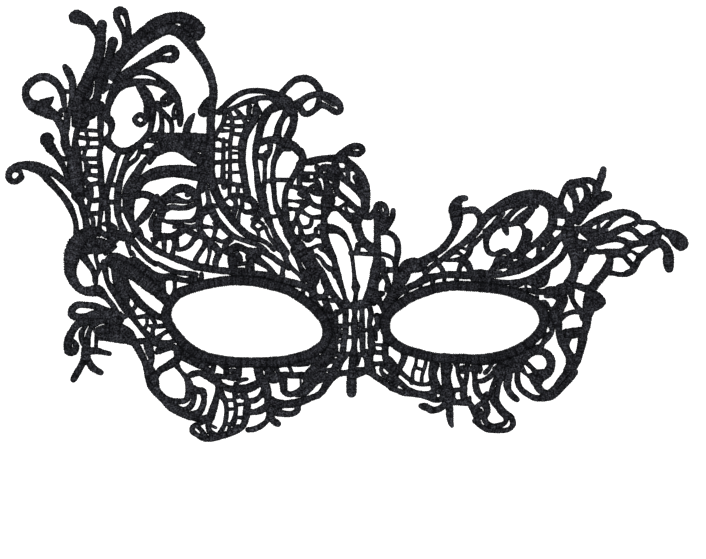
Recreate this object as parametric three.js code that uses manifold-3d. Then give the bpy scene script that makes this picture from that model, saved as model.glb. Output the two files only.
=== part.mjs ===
// A half mask of guipure lace: satin-stitched cords joined into one flat openwork textile, with a padded
// rim sewn on round each eye. Millimetres, +Z up. It lies face up on its back, x runs across the face
// and y from the cheeks up to the plumes, and the origin is under the middle of the mask.

import * as THREE from 'three';
import { mergeVertices } from 'three/addons/utils/BufferGeometryUtils.js';
import Module from 'manifold-3d';

const wasm = await Module();
wasm.setup();

// Driving sizes
const maskWidth = 240; // from the left wing's curl to the tip of the right wing
const maskHeight = 153.5; // from the lowest scallop to the highest plume
const cordWidth = 2.8; // an ordinary cord, laid flat
const laceThickness = 1.4;
const rimWidth = 3.1; // the padded cord round an eye
const rimHeight = 1.3;
const seatGap = 0.3; // between the rim and the lace that it is sewn to
const smallestGap = 8.5; // square millimetres, below which a gap between cords is closed
const outlineTolerance = 0.13; // how far a straight side may leave the cord's true edge

// The lace is drawn on a squared chart, as a lace pattern is. A point is [column, row, width]: the column
// is counted from the left tip, the row from the lowest scallop, and the width is in eighths of a cord.
// A width is given where it changes. The columns fill the mask's width and the rows its height.
const chartColumns = 683;
const chartRows = 437;
const widthParts = 8;

const laceChart = {
  topSprays: [
    ['hooked curl', [[58.3, 338, 6], [56.3, 350, 7.2], [51.3, 359, 8.2], [43.7, 364.9, 8], [36, 366.3],
      [27, 362.5], [20.5, 355], [20, 347], [24.5, 339.5, 11], [32, 335.5, 14], [42, 331], [50, 326, 9],
      [55, 317, 7.5], [58.5, 308, 8.5], [59.5, 298, 9.5], [64, 288, 10], [67, 276, 11], [70, 262, 13],
      [73, 250, 12]]],
    ['hooked curl knob', [[36, 338, 12], [43, 342, 9], [47, 345.5, 3]]],
    ['blunt leaf', [[59, 376.5, 6.5], [62.7, 370.5, 8.5], [66.4, 361, 8], [66.5, 352, 7], [66, 341],
      [63.5, 330]]],
    ['main stem', [[68, 318, 5], [69.5, 330, 8], [72, 344, 11], [78, 356, 13], [85.5, 371], [92, 386, 12],
      [94.5, 400, 11], [95, 410, 10], [96, 418.5, 11]]],
    ['main stem inner cord', [[76, 335, 9], [84, 338, 10], [90, 343, 9], [92, 352, 8], [93, 362, 9],
      [97, 373], [102, 383], [105, 393], [107, 401.5, 11]]],
    ['left crook', [[93, 392, 8], [92.5, 405, 7], [88, 414], [81, 422, 9.5], [73, 423, 8.5],
      [67, 425.5, 9.5], [70, 429.5, 8.5], [78, 427, 6.5], [86, 420, 6]]],
    ['slotted finger', [[115, 380, 9], [121, 392, 7], [122.5, 403, 6], [122.5, 413], [121, 424, 5],
      [117.5, 431.5, 8], [112, 432.5, 8.5], [110.8, 426, 7.5], [114.5, 418, 6.5], [118, 409, 5.5],
      [118, 396, 6], [112, 385, 8]]],
    ['great arch, upper cord', [[104, 372, 8], [112, 384, 11], [124, 397, 12], [136, 409], [150, 419, 13],
      [163, 424.5, 12.5], [177, 425, 12], [187, 421], [193.5, 413], [191.5, 407, 10]]],
    ['great arch, middle cord', [[177, 418, 6], [185, 413, 7], [190, 406, 8]]],
    ['great arch, lower cord', [[106, 366, 8], [116, 381, 9], [128, 393, 10], [140, 402.5], [152, 410, 11],
      [163, 414], [173, 411, 12], [181, 404], [188, 395, 10], [196, 384, 9.5], [203, 371, 9],
      [207, 357, 8.5], [207.3, 346], [205.5, 335, 9], [204.8, 322, 8.5], [204.8, 308, 9], [204.8, 295],
      [204.5, 280], [205, 268], [207.5, 257], [212, 246, 9.5], [218, 236, 9]]],
    ['slotted leaf', [[112, 362, 9], [118, 368], [130, 376, 8], [142, 383.5], [152, 389.5, 7.5],
      [160, 393.8], [167, 394, 8], [170, 389], [166, 384], [157, 384.2, 6.5], [147, 383, 7.5],
      [137, 378, 7], [126, 371]]],
    ['shoulder arc, outer cord', [[118, 366, 8], [132, 371, 7], [141, 371, 6.5], [149, 367.8, 5.5],
      [157, 362, 6.5], [165, 354.5, 7.5], [171, 345], [173, 336, 7], [174, 327, 7.5], [174, 318.5, 6]]],
    ['shoulder arc, inner cord', [[108, 357, 8], [120, 359.8, 9.5], [134, 361.2, 7.2], [146, 360.7, 6.2],
      [156, 357.5, 6], [164, 352, 7], [170, 343]]],
    ['button ring', [[160.5, 347.3, 6], [156.3, 343, 5.5], [160.5, 338.9, 5], [164.7, 343, 6.5],
      [160.5, 347.3, 6]]],
    ['star net ring', [[110, 367, 2.4], [106.5, 363.5], [110, 360], [113, 363.5], [110, 367]]],
    ['hooked curl tie', [[58, 352, 4.5], [63, 351.5, 5]]],
    ['hooked curl fill', [[60.5, 334.7, 3.5], [57, 333, 5.5], [54.3, 332.3, 4.5], [56, 327, 3]]],
    ['main stem fill', [[78.5, 341.5, 5], [83.5, 350.5, 6.5], [86.5, 360, 3]]],
  ],
  ovalFrame: [
    ['left side', [[120, 360, 9], [111.5, 354, 8], [105.6, 345, 7.2], [101.5, 335, 7.5], [100.3, 327, 9],
      [104.7, 321, 8.5], [105.5, 315, 7], [103.6, 309, 4.2], [101.5, 303, 9.5], [106, 296.5, 8],
      [114, 292.2, 7], [124, 293.2, 7.2], [132.5, 298.3], [138.7, 304, 7], [144, 312.2, 6.2],
      [146, 322, 6.8], [147, 332], [145.5, 342, 7], [140.5, 350, 9], [134, 357]]],
    ['inner leaf', [[134, 357, 9], [139.3, 348, 10], [142.3, 339], [141.5, 331, 8.5], [139.5, 322, 5],
      [134, 318.3, 5.8], [128.6, 323.5, 5.4], [134, 328.5], [139, 325, 5]]],
    ['left seam', [[97, 337, 6], [94.8, 327, 6.5], [94.7, 317.5, 7.5], [94.6, 309, 5.5], [97, 300, 6]]],
    ['wedge side', [[103, 357, 6], [98.5, 353.3, 5], [93, 351]]],
    ['lower left stay', [[114, 292, 6], [112, 288, 5.5], [108.8, 280, 6.2], [106, 270, 7.6],
      [103.5, 262, 7.2], [101, 253, 6.5], [99, 243, 9], [101.7, 232, 6.5], [102, 222, 5.5],
      [104.5, 212, 8]]],
    ['lower middle stay', [[126.5, 292, 6], [121, 285.5], [118.3, 278, 6.2], [116, 270, 7.2], [113.6, 262],
      [112, 252, 7.8], [111.5, 242, 7.6], [111.3, 232, 6.8], [114, 221, 6.5], [118, 211, 8]]],
    ['lower right stay', [[135.5, 296, 6], [133.3, 290, 4.5], [130.5, 284.5], [126, 280.8, 5],
      [121.5, 277, 4.5], [118, 272, 5]]],
    ['valance top cord', [[204, 304, 10], [190, 305, 11], [176, 306, 9], [163, 306], [153, 305.7],
      [146.5, 305, 5]]],
    ['valance middle cord', [[204, 293, 11], [190, 297], [176, 299.5, 10], [163, 299], [152, 296],
      [146.5, 291.5, 7.6], [142.6, 286, 5.6], [137.3, 280, 7.6], [132.8, 273, 8.5], [129.6, 266, 9],
      [127.5, 256], [126.5, 246, 7], [125, 236], [125.3, 227, 6], [127.5, 217], [132.7, 207.3, 6.5],
      [140.5, 199.8, 7], [149.5, 193.6, 6.6], [158, 189.5, 6]]],
    ['valance low cord', [[202, 279, 10], [192.5, 283.6, 12], [184, 288.5, 11], [173, 294, 8], [162, 294.8],
      [151, 290.5]]],
    ['crescent upper cord', [[202, 274, 9], [188, 273.4, 7.4], [175, 274.8], [162, 274.3], [152, 273.2, 7],
      [144, 270.3], [138, 265.3, 7.5], [132, 257, 8]]],
    ['crescent lower cord', [[200, 264, 9], [188, 267], [175, 269, 8], [162, 269.5], [150, 267],
      [141, 263.5, 6.3], [134, 257], [130, 247, 6]]],
    ['net stem', [[200, 296, 8], [199, 284, 9], [197.5, 270], [196, 259], [196, 252, 5]]],
    ['leaf blob', [[206, 346, 6], [200, 339, 9], [197.5, 331.5, 13]]],
    ['slant bar', [[151, 337, 6.5], [156, 331], [161, 326.5, 6], [165, 321, 5.5], [166, 314, 5],
      [165.5, 309]]],
    ['short post', [[154.8, 331, 4], [156, 318, 5.5], [154.8, 311, 7]]],
    ['leaf spike', [[188, 329, 3], [184.5, 323.5, 7.5], [181.5, 316, 8], [179.5, 308]]],
    ['oval shoulder fill', [[97, 351, 4], [98.7, 357, 6.5], [100, 363.5, 5], [101, 369, 3]]],
    ['button ring tie', [[151, 341, 3.5], [155, 339, 4], [159, 337, 3]]],
    ['valance corner', [[136.5, 291, 5], [141, 291.5, 6.5], [146, 292.5, 6]]],
    ['lower right stay foot', [[128.5, 270, 5], [125, 264, 5.5], [122, 257, 8], [120.5, 250, 9],
      [120.7, 240, 8], [121.5, 230], [125.3, 219.5, 5.5], [130.3, 209, 6.5]]],
    ['oval shoulder side', [[105.5, 354, 3.4], [103, 348, 3.6], [100.5, 341.5, 3]]],
    ['slant bar fill', [[168.7, 337, 3.4], [167.3, 331, 4], [168, 325, 4.4]]],
    ['valance end fill', [[145, 308, 4], [151, 309.5]]],
    ['valance end fill 2', [[141, 302, 3.4], [148.5, 301.5, 4]]],
    ['valance end fill 3', [[143.5, 279.5, 3.4], [149, 286.5, 3.6]]],
  ],
  secondPlume: [
    ['crown cord', [[206, 330, 5], [211.5, 331.3, 5.4], [217.7, 336.3, 5.6], [223, 341.3, 6], [230, 347],
      [240, 351.5, 5.6], [250, 352.5, 6], [260, 351.5], [270, 348.5, 7], [278.5, 345, 8]]],
    ['under crown', [[213, 330, 5], [218, 331.6, 4.6], [224, 333.8], [232, 337.4, 4.8], [240, 341, 6],
      [246, 342.5, 7], [253, 345, 5.5], [263, 345, 5], [272, 343, 10], [282, 342, 11]]],
    ['net side', [[218, 333, 5], [218.5, 325, 5.5], [216, 318, 5], [212, 312], [208, 305]]],
    ['net right side', [[250, 336, 7], [249.3, 326, 8], [245, 318], [239.7, 310, 8.6], [236.7, 300, 9],
      [236, 290, 8], [236, 280], [237.5, 270], [239, 260, 7.5], [241.5, 249, 7.6]]],
    ['arch to fan, left cord', [[277.5, 339.5, 12], [270, 336.3, 9], [263, 332.5, 8.6], [258.8, 326, 9],
      [255.2, 318, 8.5], [253, 308, 8], [251, 300], [249.5, 291, 6.5], [249, 282, 6]]],
    ['triangle post', [[250, 345, 4], [250.5, 338, 4.5], [253, 331, 7]]],
    ['arch to fan, middle cord', [[283.5, 334, 11], [277.3, 326, 6.6], [273, 317, 7], [270.8, 305, 9]]],
    ['arch to fan, right cord', [[287.5, 331.5, 9], [287.8, 322, 8], [285.3, 313, 9], [281.3, 305]]],
    ['loop on top', [[274, 346.5, 8], [277.5, 352, 6.6], [283, 358, 6.5], [289, 363], [296, 364.8, 7],
      [303, 364, 7.5], [309, 360, 7], [314, 353]]],
    ['top sprig, upper cord', [[284, 336.5, 9], [292.5, 340, 8.5], [301, 346, 6.5], [310, 348.8, 6.6],
      [319, 348.5], [327, 344.5, 7.6], [333, 339.3, 7.2], [334.6, 333, 6], [331.5, 330.7],
      [327, 332.5, 6.6], [321, 336, 5], [315, 338, 7], [309, 333.5, 6], [304, 330], [298.5, 329.5, 7],
      [295, 334], [292, 340, 8]]],
    ['top sprig post', [[314, 347, 7], [312.5, 341, 6], [311, 336]]],
    ['fan collar', [[254, 300, 7], [262, 303], [271, 303, 8], [280, 300, 10], [288, 296.5, 9],
      [294, 290, 8]]],
    ['top sprig fill', [[318, 344, 3.4], [323.5, 340.7, 4.2], [328.5, 338, 3.6]]],
  ],
  outerCrescents: [
    ['hook', [[92, 212, 10], [80, 208, 15], [71, 200, 17], [67, 190, 18], [65, 180, 15], [64.5, 171, 12.5],
      [67, 163.5, 10.5], [71.5, 156.5, 8.5], [77, 152.6], [84, 151.7, 10.5], [92, 152.4, 12.5],
      [97, 148.7, 8.8], [101.5, 144, 5.5], [107.5, 136.5], [111, 130, 6]]],
    ['upper finger', [[114, 127, 9], [107, 130.2, 7.4], [98, 133.3, 6.8], [90, 136.6, 7], [80, 138, 6.5],
      [71, 137.8, 7], [66, 133, 8], [66, 128], [72, 126, 7.5], [80, 126.5, 7], [90, 128.5, 10],
      [100, 128, 11], [112, 125]]],
    ['curl', [[88, 121, 9], [78, 121], [71, 118, 8], [66, 111], [63, 104, 9], [61.8, 97, 8.5],
      [62.5, 91.5, 8], [67, 91], [70, 95, 7], [69, 100, 5.5], [64, 103, 6]]],
    ['curl inner cord', [[80, 117, 4], [76, 111, 6], [75.5, 105], [77, 99, 5]]],
    ['stalk', [[88, 119, 6], [84, 113, 5], [82, 106, 6], [80.5, 98, 8.5], [79.8, 90, 10], [79.8, 83, 11]]],
    ['stalk post', [[91, 110, 5], [90.3, 103, 4], [90, 96], [90, 92, 5]]],
    ['stalk arm', [[82, 92, 8], [91, 92, 7], [98, 90.5, 5.5], [103.5, 89.3, 5]]],
    ['wisp body, upper', [[86, 116, 5], [94, 122, 7], [104, 123, 9], [113, 122, 10], [117, 125.5, 5],
      [121, 127.5]]],
    ['wisp body, middle', [[90, 112, 6], [100, 114, 10], [112, 114, 12], [118, 113, 10], [124, 109, 9],
      [128, 102, 8]]],
    ['wisp body, lower', [[91, 105, 5], [104, 106, 10], [116, 104.7, 11], [126, 101.5, 8]]],
    ['hook inner bar', [[89, 161, 5], [88.7, 167, 5.5], [86.5, 173.5, 6], [82, 180, 7], [77.5, 186.5, 9]]],
    ['hook inner bar 2', [[76, 192, 8], [83, 192.5], [89, 193, 7]]],
    ['crescent root', [[99.5, 189.5, 5], [105.5, 193.3, 4.4], [110, 196.5, 3]]],
    ['crescent inner root', [[126, 191.5, 3.6], [128.3, 187.5, 4]]],
  ],
  centreFan: [
    ['fan rib 1', [[249, 284, 5.5], [249.5, 278], [250.8, 270], [251.8, 260, 7], [255, 250, 10],
      [257.2, 240], [259.3, 231, 9], [262.5, 223, 8], [266, 215, 5], [270, 206, 6], [275, 198, 7],
      [280, 190, 8]]],
    ['fan rib 2', [[260.5, 290.5, 6], [259.3, 284, 5.5], [258.8, 275, 4.2], [258.5, 262, 4.5],
      [256.8, 252, 7]]],
    ['fan rib 3', [[274, 300, 7], [271.5, 290], [268.2, 282, 6], [266.9, 272, 5.2], [267, 262, 6.2],
      [268, 252, 5.4], [268.8, 243, 5], [270.5, 236, 6.5], [274, 229, 7], [278, 220, 9]]],
    ['fan rib 4', [[294.5, 292, 8], [296.6, 285], [292.8, 276, 7], [288.2, 268, 6], [284.3, 261, 6.5],
      [280.5, 254, 6], [279, 246], [279, 238, 7], [279.5, 229, 8], [280, 219, 9], [283, 210, 11],
      [288, 202, 12], [294, 194, 14], [300, 185, 12], [306, 176], [312, 168, 10]]],
    ['fan tie', [[258, 261, 5], [268, 263, 4.5], [282, 263, 5]]],
    ['fan foot left', [[255.5, 229, 5], [251, 225, 8], [246, 217, 4]]],
    ['fan foot bar', [[256, 231, 8], [266, 226.5, 4], [278, 229]]],
    ['sprig left edge', [[296, 278, 7], [294.5, 270, 5], [293, 262], [296, 254], [301, 248, 6],
      [303, 241, 5], [296, 236, 6], [292, 229, 4.5], [288, 219, 5], [285, 212, 6]]],
    ['sprig top edge', [[293, 279, 7], [299, 280.6, 6], [305, 281.5, 8], [312, 283.4, 7.6], [320, 284.6, 7],
      [328, 285, 7.4], [334.3, 286.6, 9], [340.5, 290.2, 6], [347, 289.5, 6.5], [353, 289.3, 6],
      [357, 293.3], [353.7, 296.6], [347, 296.6, 7], [340, 292.7, 7.6], [334, 288, 8]]],
    ['sprig mid bar', [[296, 270, 4], [302, 270, 3.5], [310, 270, 4], [317, 275, 8], [326, 274],
      [333, 270]]],
    ['sprig spine', [[311, 276, 6], [314, 270], [319, 264, 5], [321.5, 256, 8], [322, 249, 12],
      [322, 242, 15], [320.5, 234, 12], [318.5, 226, 7], [318, 218], [317.7, 210, 8.6], [319.5, 203, 8.4],
      [323, 195, 7.4], [326.8, 187, 6.6], [329.3, 178], [331.2, 170, 7.6], [333.8, 161, 6.4],
      [336.9, 152, 5.4], [339.4, 144, 4.6], [343, 138, 6]]],
    ['sprig net 1', [[294, 263, 4], [302, 262.5], [311, 262, 5], [316, 250, 3]]],
    ['sprig net 2', [[293, 256, 5], [301, 254], [310, 250, 6], [318, 249]]],
    ['sprig net 3', [[282, 256, 4], [289, 256, 5], [296, 252, 6], [302, 245], [308, 238, 5],
      [315, 236, 6]]],
    ['sprig net 4', [[281, 242.5, 4], [288, 242, 3], [296, 241, 6], [303, 240, 3]]],
    ['sprig net 5', [[279, 234, 6], [287, 234, 4], [295, 232, 6], [300, 229, 4], [306, 226],
      [314, 226, 6]]],
    ['sprig net 6', [[283, 220, 4], [290, 220, 5], [297, 216, 4], [304, 217.5, 5], [306, 226, 4]]],
    ['sprig net 7', [[291, 233, 4], [291, 226], [294, 217, 5], [296, 208, 6], [302, 203], [309, 207, 4],
      [317, 206, 5]]],
    ['sprig net 8', [[310, 214, 5], [309, 209, 4], [298, 206, 5], [290, 206]]],
    ['leaf outer cord', [[333, 284, 9], [337, 284.5], [343, 280, 8], [350, 274.2], [356, 266.3],
      [359.9, 258, 7], [361, 249], [360.2, 241, 7.6], [358.5, 233, 10], [353, 227], [350.5, 219, 10.4],
      [352.7, 211, 9.4], [355.6, 204], [361, 199, 8], [369, 195]]],
    ['leaf inner cord', [[322, 274, 6], [328, 273, 8], [333, 269.5, 7], [337, 264.5, 6.5], [343, 259.5, 6],
      [348, 255.5, 6.5], [353, 250.5], [356.5, 244, 5], [358, 237, 6]]],
    ['leaf net 1', [[329, 279, 8], [333, 274, 4], [342, 273, 5], [350, 276, 4]]],
    ['leaf net 2', [[341, 276, 6], [342, 268, 5], [342, 262]]],
    ['leaf net 3', [[349, 266, 6], [351, 261, 5], [353, 255], [358, 250, 6]]],
    ['leaf stem', [[320, 268, 6], [326, 266, 9], [330, 262, 8], [330, 254.7, 6.6], [333.5, 249],
      [339.5, 244.3, 6], [344.5, 239.4, 6.2], [349.5, 234.8, 6.4], [356, 231, 9]]],
    ['leaf stem net', [[320, 254, 5], [328, 258, 4], [330, 249], [325, 247, 5]]],
    ['leaf lower cord', [[318, 235, 8], [325, 235, 7], [332, 234, 5], [338, 229, 6], [344, 224.5, 8],
      [350, 222, 9]]],
    ['leaf lower net 1', [[333, 235, 4], [340, 239], [346, 236]]],
    ['leaf lower net 2', [[340, 240, 3], [340, 234, 3.5], [343, 229, 4], [351, 229]]],
    ['gap bridge', [[314, 216, 8], [321, 214.5, 10], [327, 214], [333, 212.2, 7.6], [338.3, 207.8, 6],
      [342, 201, 4.2], [344.6, 194, 3.8], [345.9, 187, 4.2], [347, 179, 4], [348, 170], [348.7, 163, 5],
      [349.8, 156.5, 10], [350, 150, 5], [349.3, 143, 5.4], [349, 136, 9]]],
    ['bridge bar', [[345, 190, 6], [354, 189.5, 4], [362, 189, 4.5], [371, 190, 6]]],
    ['bridge bar upper', [[352, 198, 6], [358, 198], [366, 192]]],
    ['bridge bar end', [[352, 198, 6], [351, 190]]],
    ['lobe', [[357, 228, 9], [365, 227, 8], [369.3, 233, 5.6], [371, 238.3, 5.4], [376, 239.3], [380, 235],
      [380, 228, 6], [377, 222, 7], [375, 215, 9]]],
    ['lobe inner', [[366, 227, 6], [371, 230], [370.8, 222], [371, 214, 6.8], [371.2, 206], [371.3, 198, 8],
      [371.3, 190], [371, 181, 9], [369.5, 172, 11], [367, 163, 9], [365, 154], [362, 146], [359, 138, 8]]],
    ['lobe tip', [[387.2, 232.8, 5.2], [386.3, 226, 6.4], [382.5, 219.5, 7], [378, 215, 8.5],
      [372, 211, 8]]],
    ['lobe middle', [[373, 237, 5], [375.5, 231, 3], [377, 225, 5]]],
    ['fan lower rib', [[310, 188, 4], [315, 184], [319, 178, 4.5], [324, 174, 6]]],
    ['fan lower rib 2', [[303, 192, 10], [306, 184, 8], [310.5, 177, 7.4], [315.8, 170, 8], [320, 161],
      [325, 151.7, 7], [330, 144.7], [335.5, 138, 8]]],
    ['fan lower rib 3', [[299, 186, 8], [305, 174, 9], [308, 165, 12], [306, 156, 9], [309, 147],
      [317.5, 146.3, 6], [321.3, 152, 6.6], [317.5, 162, 6.4]]],
    ['fan lower rib 4', [[316, 198.3, 4], [309.5, 196.6], [303.5, 193.5]]],
    ['fan lower rib 5', [[318, 197, 5], [314, 194.5, 4], [320, 191], [326, 185, 6]]],
    ['leaf net 4', [[353.5, 264, 3], [355.5, 259, 3.5], [357.3, 255, 2.5]]],
    ['sprig spine foot', [[326.5, 171.5, 3.5], [328.7, 166]]],
    ['ring foot 1', [[375, 166.5, 5], [371.5, 160, 3.6], [370, 153, 5], [369, 146, 10], [367.8, 139.5, 6]]],
    ['ring foot 2', [[370, 148, 9], [376.5, 149.5, 6]]],
    ['ring foot 3', [[372, 143, 9], [375, 138, 5], [377.5, 133, 4.5]]],
    ['fan link 1', [[251.5, 287, 6], [257, 286, 8]]],
    ['fan link 2', [[264, 300, 6], [263.8, 292, 5.5], [261.5, 286, 4]]],
    ['fan corner', [[272.5, 288, 4], [276.5, 293.5, 5], [284, 293, 3]]],
    ['sprig net 9', [[296, 266.5, 3.5], [302.5, 266.5]]],
    ['sprig net 10', [[308.5, 266.5, 3.5], [313.5, 266, 3]]],
    ['sprig net 11', [[304, 256.5, 3], [309, 257, 6], [312, 253.5, 3]]],
    ['sprig net 12', [[293, 249.3, 4.5], [297.5, 245.5, 3]]],
  ],
  leftBrowSwirl: [
    ['swirl top', [[151, 241, 6], [155.5, 244, 6.6], [162, 248, 7.2], [169, 253, 8.3], [177, 254.9, 9],
      [184.5, 252.7, 9.4], [189.5, 249, 6.5], [191.5, 243, 5.5], [189, 239, 5], [182, 235.8, 5.6],
      [174, 235], [165, 235.8, 6.2], [157.5, 232.5, 7]]],
    ['swirl inner', [[153, 237, 8], [160, 243, 9], [168, 244], [176, 242, 6], [183, 241.5, 4],
      [188, 245, 5]]],
    ['swirl left', [[151, 247, 5], [152, 238, 10], [155.3, 229.5, 9.5], [152.5, 222, 7], [151, 213.5, 9.6],
      [151.6, 206, 8.5], [158, 206.3, 8], [166, 207, 7], [172.5, 210, 7.6], [179, 213.3, 7.2],
      [186.5, 209.8, 6.2], [193, 207, 6]]],
    ['under swirl', [[153, 226, 6], [159, 222, 4], [166, 221, 5.6], [172, 221, 5], [178, 222, 3.5],
      [186, 222.5, 5], [192.3, 229, 7.3], [193.4, 238, 6.2], [192.3, 248, 5.5], [193, 258, 5]]],
    ['under swirl 2', [[168, 216, 4], [176, 217, 6], [184, 216, 5], [192, 218, 6], [195.5, 226],
      [198.8, 233, 6.6], [202.7, 240, 6], [201.7, 249, 4.6], [199.8, 258, 5]]],
    ['slit cord left', [[205, 234, 9], [209.9, 224.8, 7.7], [217.4, 216, 7], [225.5, 208.2, 6.3],
      [235.2, 203.6, 4.8], [244, 201, 5.5], [251, 198.5, 5], [256, 195.5], [261, 191]]],
    ['slit cord right', [[207.6, 258, 8.3], [209.8, 250, 8], [213.3, 243.3, 8.5], [217, 236, 9],
      [222, 229, 8.5], [228, 221, 8], [234, 214.5, 7.5], [241, 208.5], [249, 205, 6], [256, 202.5, 5],
      [262, 199, 4.5], [268, 193]]],
    ['small cord', [[246, 217, 4], [252, 213], [259, 216], [261, 211, 3.5], [264, 205, 4], [269, 199],
      [274, 193, 5]]],
    ['small bar 1', [[251, 213, 4], [253, 207, 3.5], [252, 203, 4]]],
    ['small bar 2', [[246, 224, 4], [252, 222], [257, 219]]],
    ['plume net foot 1', [[224, 262, 5], [223.5, 254, 4], [224, 247], [229.5, 241, 4.5], [229, 234, 6],
      [227, 226]]],
    ['plume net foot 2', [[232, 258, 5], [231.5, 250, 4], [230, 244]]],
    ['plume net foot 3', [[224, 248, 4], [232, 248, 5], [240, 244.6, 8.6], [244.5, 242, 6]]],
    ['plume net foot 4', [[236, 244, 4], [236, 236, 5], [233.5, 230, 3], [232, 221, 5]]],
    ['plume net foot 5', [[218, 238, 6], [224, 235, 4], [232, 236], [240, 231, 5], [246, 231.5, 6]]],
    ['swirl foot 1', [[198, 230.5, 7], [205, 231.8, 5], [211, 222.5]]],
    ['swirl foot 2', [[192, 222, 6], [196, 217], [204, 216, 3.5], [209, 214, 5], [207, 205, 4],
      [204, 200, 7]]],
    ['swirl foot 3', [[193, 214, 6], [199, 206], [205, 200, 8], [212.7, 190.5, 7.5], [209.7, 181.5, 6.5],
      [209.5, 174, 6]]],
    ['swirl foot 4', [[209, 204.5, 5], [216, 201.5, 4], [223, 204, 5]]],
    ['swirl foot 5', [[205, 200, 6], [210, 195.2, 4.5], [216, 192.4], [224, 190, 8]]],
    ['curl band', [[169.3, 206, 7], [170.5, 199, 6], [171.3, 194, 4.8], [177, 194.2, 5], [184, 198.3, 5.2],
      [188, 204, 5.6], [193, 207, 6], [198.5, 204, 5.4], [198.6, 198], [193.7, 190], [189.7, 183],
      [190, 177, 8]]],
    ['valley cord', [[150, 193, 7], [160, 188, 5.4], [170, 184.3, 7.2], [180, 180.5], [190, 176.7, 8.6],
      [200, 175, 8], [210, 173, 7], [221, 172], [232, 171, 9], [243, 172, 8]]],
    ['valley cord 2', [[152, 179.5, 5], [160, 175, 5.5], [170, 171], [180, 169.7], [190, 168.3, 6]]],
    ['valley post 1', [[158, 203, 6], [158.2, 196, 4.8], [158, 190, 5]]],
    ['valley post 2', [[166, 208, 5], [168.3, 200, 4.7], [167.5, 194], [166, 188, 6]]],
    ['valley post 3', [[203.6, 199, 5.6], [203.6, 190, 3.8], [201.7, 182], [200, 176, 6]]],
    ['swirl eye mass 1', [[224, 193, 8], [231, 196, 8.6], [238, 194, 6.8], [246, 189.5, 7],
      [252, 189.5, 8]]],
    ['swirl eye mass 2', [[226, 186, 10], [227, 177, 9], [230, 169]]],
    ['swirl eye mass 3', [[244, 192, 8], [246.2, 184, 7.2], [243, 177, 7], [244, 169, 9]]],
    ['swirl eye mass 4', [[227, 180, 8], [236, 179, 3.5], [244, 181, 6]]],
    ['swirl eye', [[181, 248, 5], [184.5, 249], [187, 247, 3]]],
    ['slit tie', [[205.5, 238.3, 4], [210.5, 237, 5]]],
    ['swirl foot 6', [[145.5, 204.7, 3], [149, 201, 6]]],
    ['swirl foot 7', [[218.5, 196.5, 6], [222, 200, 4.5], [226.5, 202.7, 3]]],
    ['swirl eye mass 5', [[231, 190, 5], [232.7, 186, 7.6], [234.3, 181.5, 6]]],
    ['plume net foot 6', [[219.5, 243.5, 3.4], [223, 246]]],
    ['valley post 4', [[195.5, 169, 5], [195.5, 164.5]]],
    ['swirl foot fill', [[207.5, 220, 3], [212, 215.3, 3.6]]],
  ],
  sideSprays: [
    ['long curl', [[16, 266, 6], [12, 262.5], [7, 261.5], [3, 265, 7], [3.5, 271], [8, 275, 8], [15, 277.5],
      [24, 277.3, 10], [32, 276], [39, 273.5, 9], [46.5, 270.5, 8], [54.7, 264.3, 7], [62, 258, 7.2],
      [69, 252, 9], [75, 246]]],
    ['long curl eyelet side', [[8, 274, 6], [13.5, 272, 5], [15, 268], [12, 262.5, 6]]],
    ['long curl lower cord', [[24, 276, 8], [34, 272, 8.5], [41.5, 264, 8], [49.3, 255.6, 6.8],
      [56.2, 247.7], [61.2, 240.9, 7], [65.5, 233], [68.5, 225, 6], [70, 218, 5.5], [70.3, 210, 6]]],
    ['ball sprig', [[41, 303.7, 15.5], [42.3, 299.5, 12.5], [45, 294.8, 11.5], [50.2, 288.6, 7.4],
      [54.6, 281.6, 7], [58.8, 273, 6], [60.3, 267, 4.7], [64, 260, 6], [69, 252, 8]]],
    ['ladder foot left', [[68, 247, 7], [74, 239, 5], [76, 231, 4.5], [78.3, 223], [80, 214, 6]]],
    ['ball sprig tie', [[54, 285.7, 5], [60, 283.7]]],
  ],
  ladder: [
    ['left rail', [[67, 273, 5], [68, 282, 7], [69, 295], [69.5, 305, 6], [72, 316, 6.5], [73.7, 325, 8],
      [73, 332, 9]]],
    ['left rail filler', [[58, 303, 7], [60.5, 318, 7.5], [61.5, 330, 7]]],
    ['left rail tail', [[70, 301, 5], [71, 292, 8], [71, 285, 9], [72, 270, 10], [73.5, 258, 11],
      [74, 246, 7.5], [77, 235, 6], [79.5, 226], [81.5, 214, 7]]],
    ['middle rail', [[79.5, 314, 4], [81, 307], [82, 300], [79.8, 294], [78, 287], [80.4, 279, 5.5],
      [81.5, 271, 7], [78.5, 264, 5], [83.5, 257, 7], [85.2, 250, 5.5], [83.5, 240, 5], [82, 230],
      [86.8, 224], [87.2, 215, 4.5]]],
    ['right rail', [[93.5, 306, 4], [95, 298, 5], [93.5, 290, 5.5], [94, 280, 6], [95, 270, 6.5],
      [95, 261, 7], [95.8, 252, 6.5], [96, 243, 6], [95.3, 236], [94.5, 228, 5], [93.5, 219, 4.5],
      [93, 209, 6]]],
    ['bar 1', [[72, 313, 4], [80, 313], [88, 312.5], [94, 312]]],
    ['bar 2', [[70, 306.3, 5], [75, 305.6, 4.8], [82, 304.4], [93, 304.3, 4.6]]],
    ['bar 3', [[71, 294, 6], [80, 295.5, 4], [93, 296]]],
    ['bar 4', [[72, 286, 7], [81, 284.5, 5], [93, 284.5]]],
    ['bar 5', [[80, 277, 5], [93, 276.5]]],
    ['bar 6', [[79, 269, 6], [86, 268, 4], [94, 267, 6]]],
    ['bar 7', [[83, 258, 5], [92, 260]]],
    ['bar 8', [[79, 253, 5], [85, 243], [95, 243.5, 6]]],
    ['bar 9', [[77, 237, 5], [82, 236, 4]]],
    ['bar 10', [[78, 229, 5], [86, 229.5], [95, 230]]],
    ['bar 11', [[84, 213, 6], [92, 213], [99, 208]]],
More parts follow.
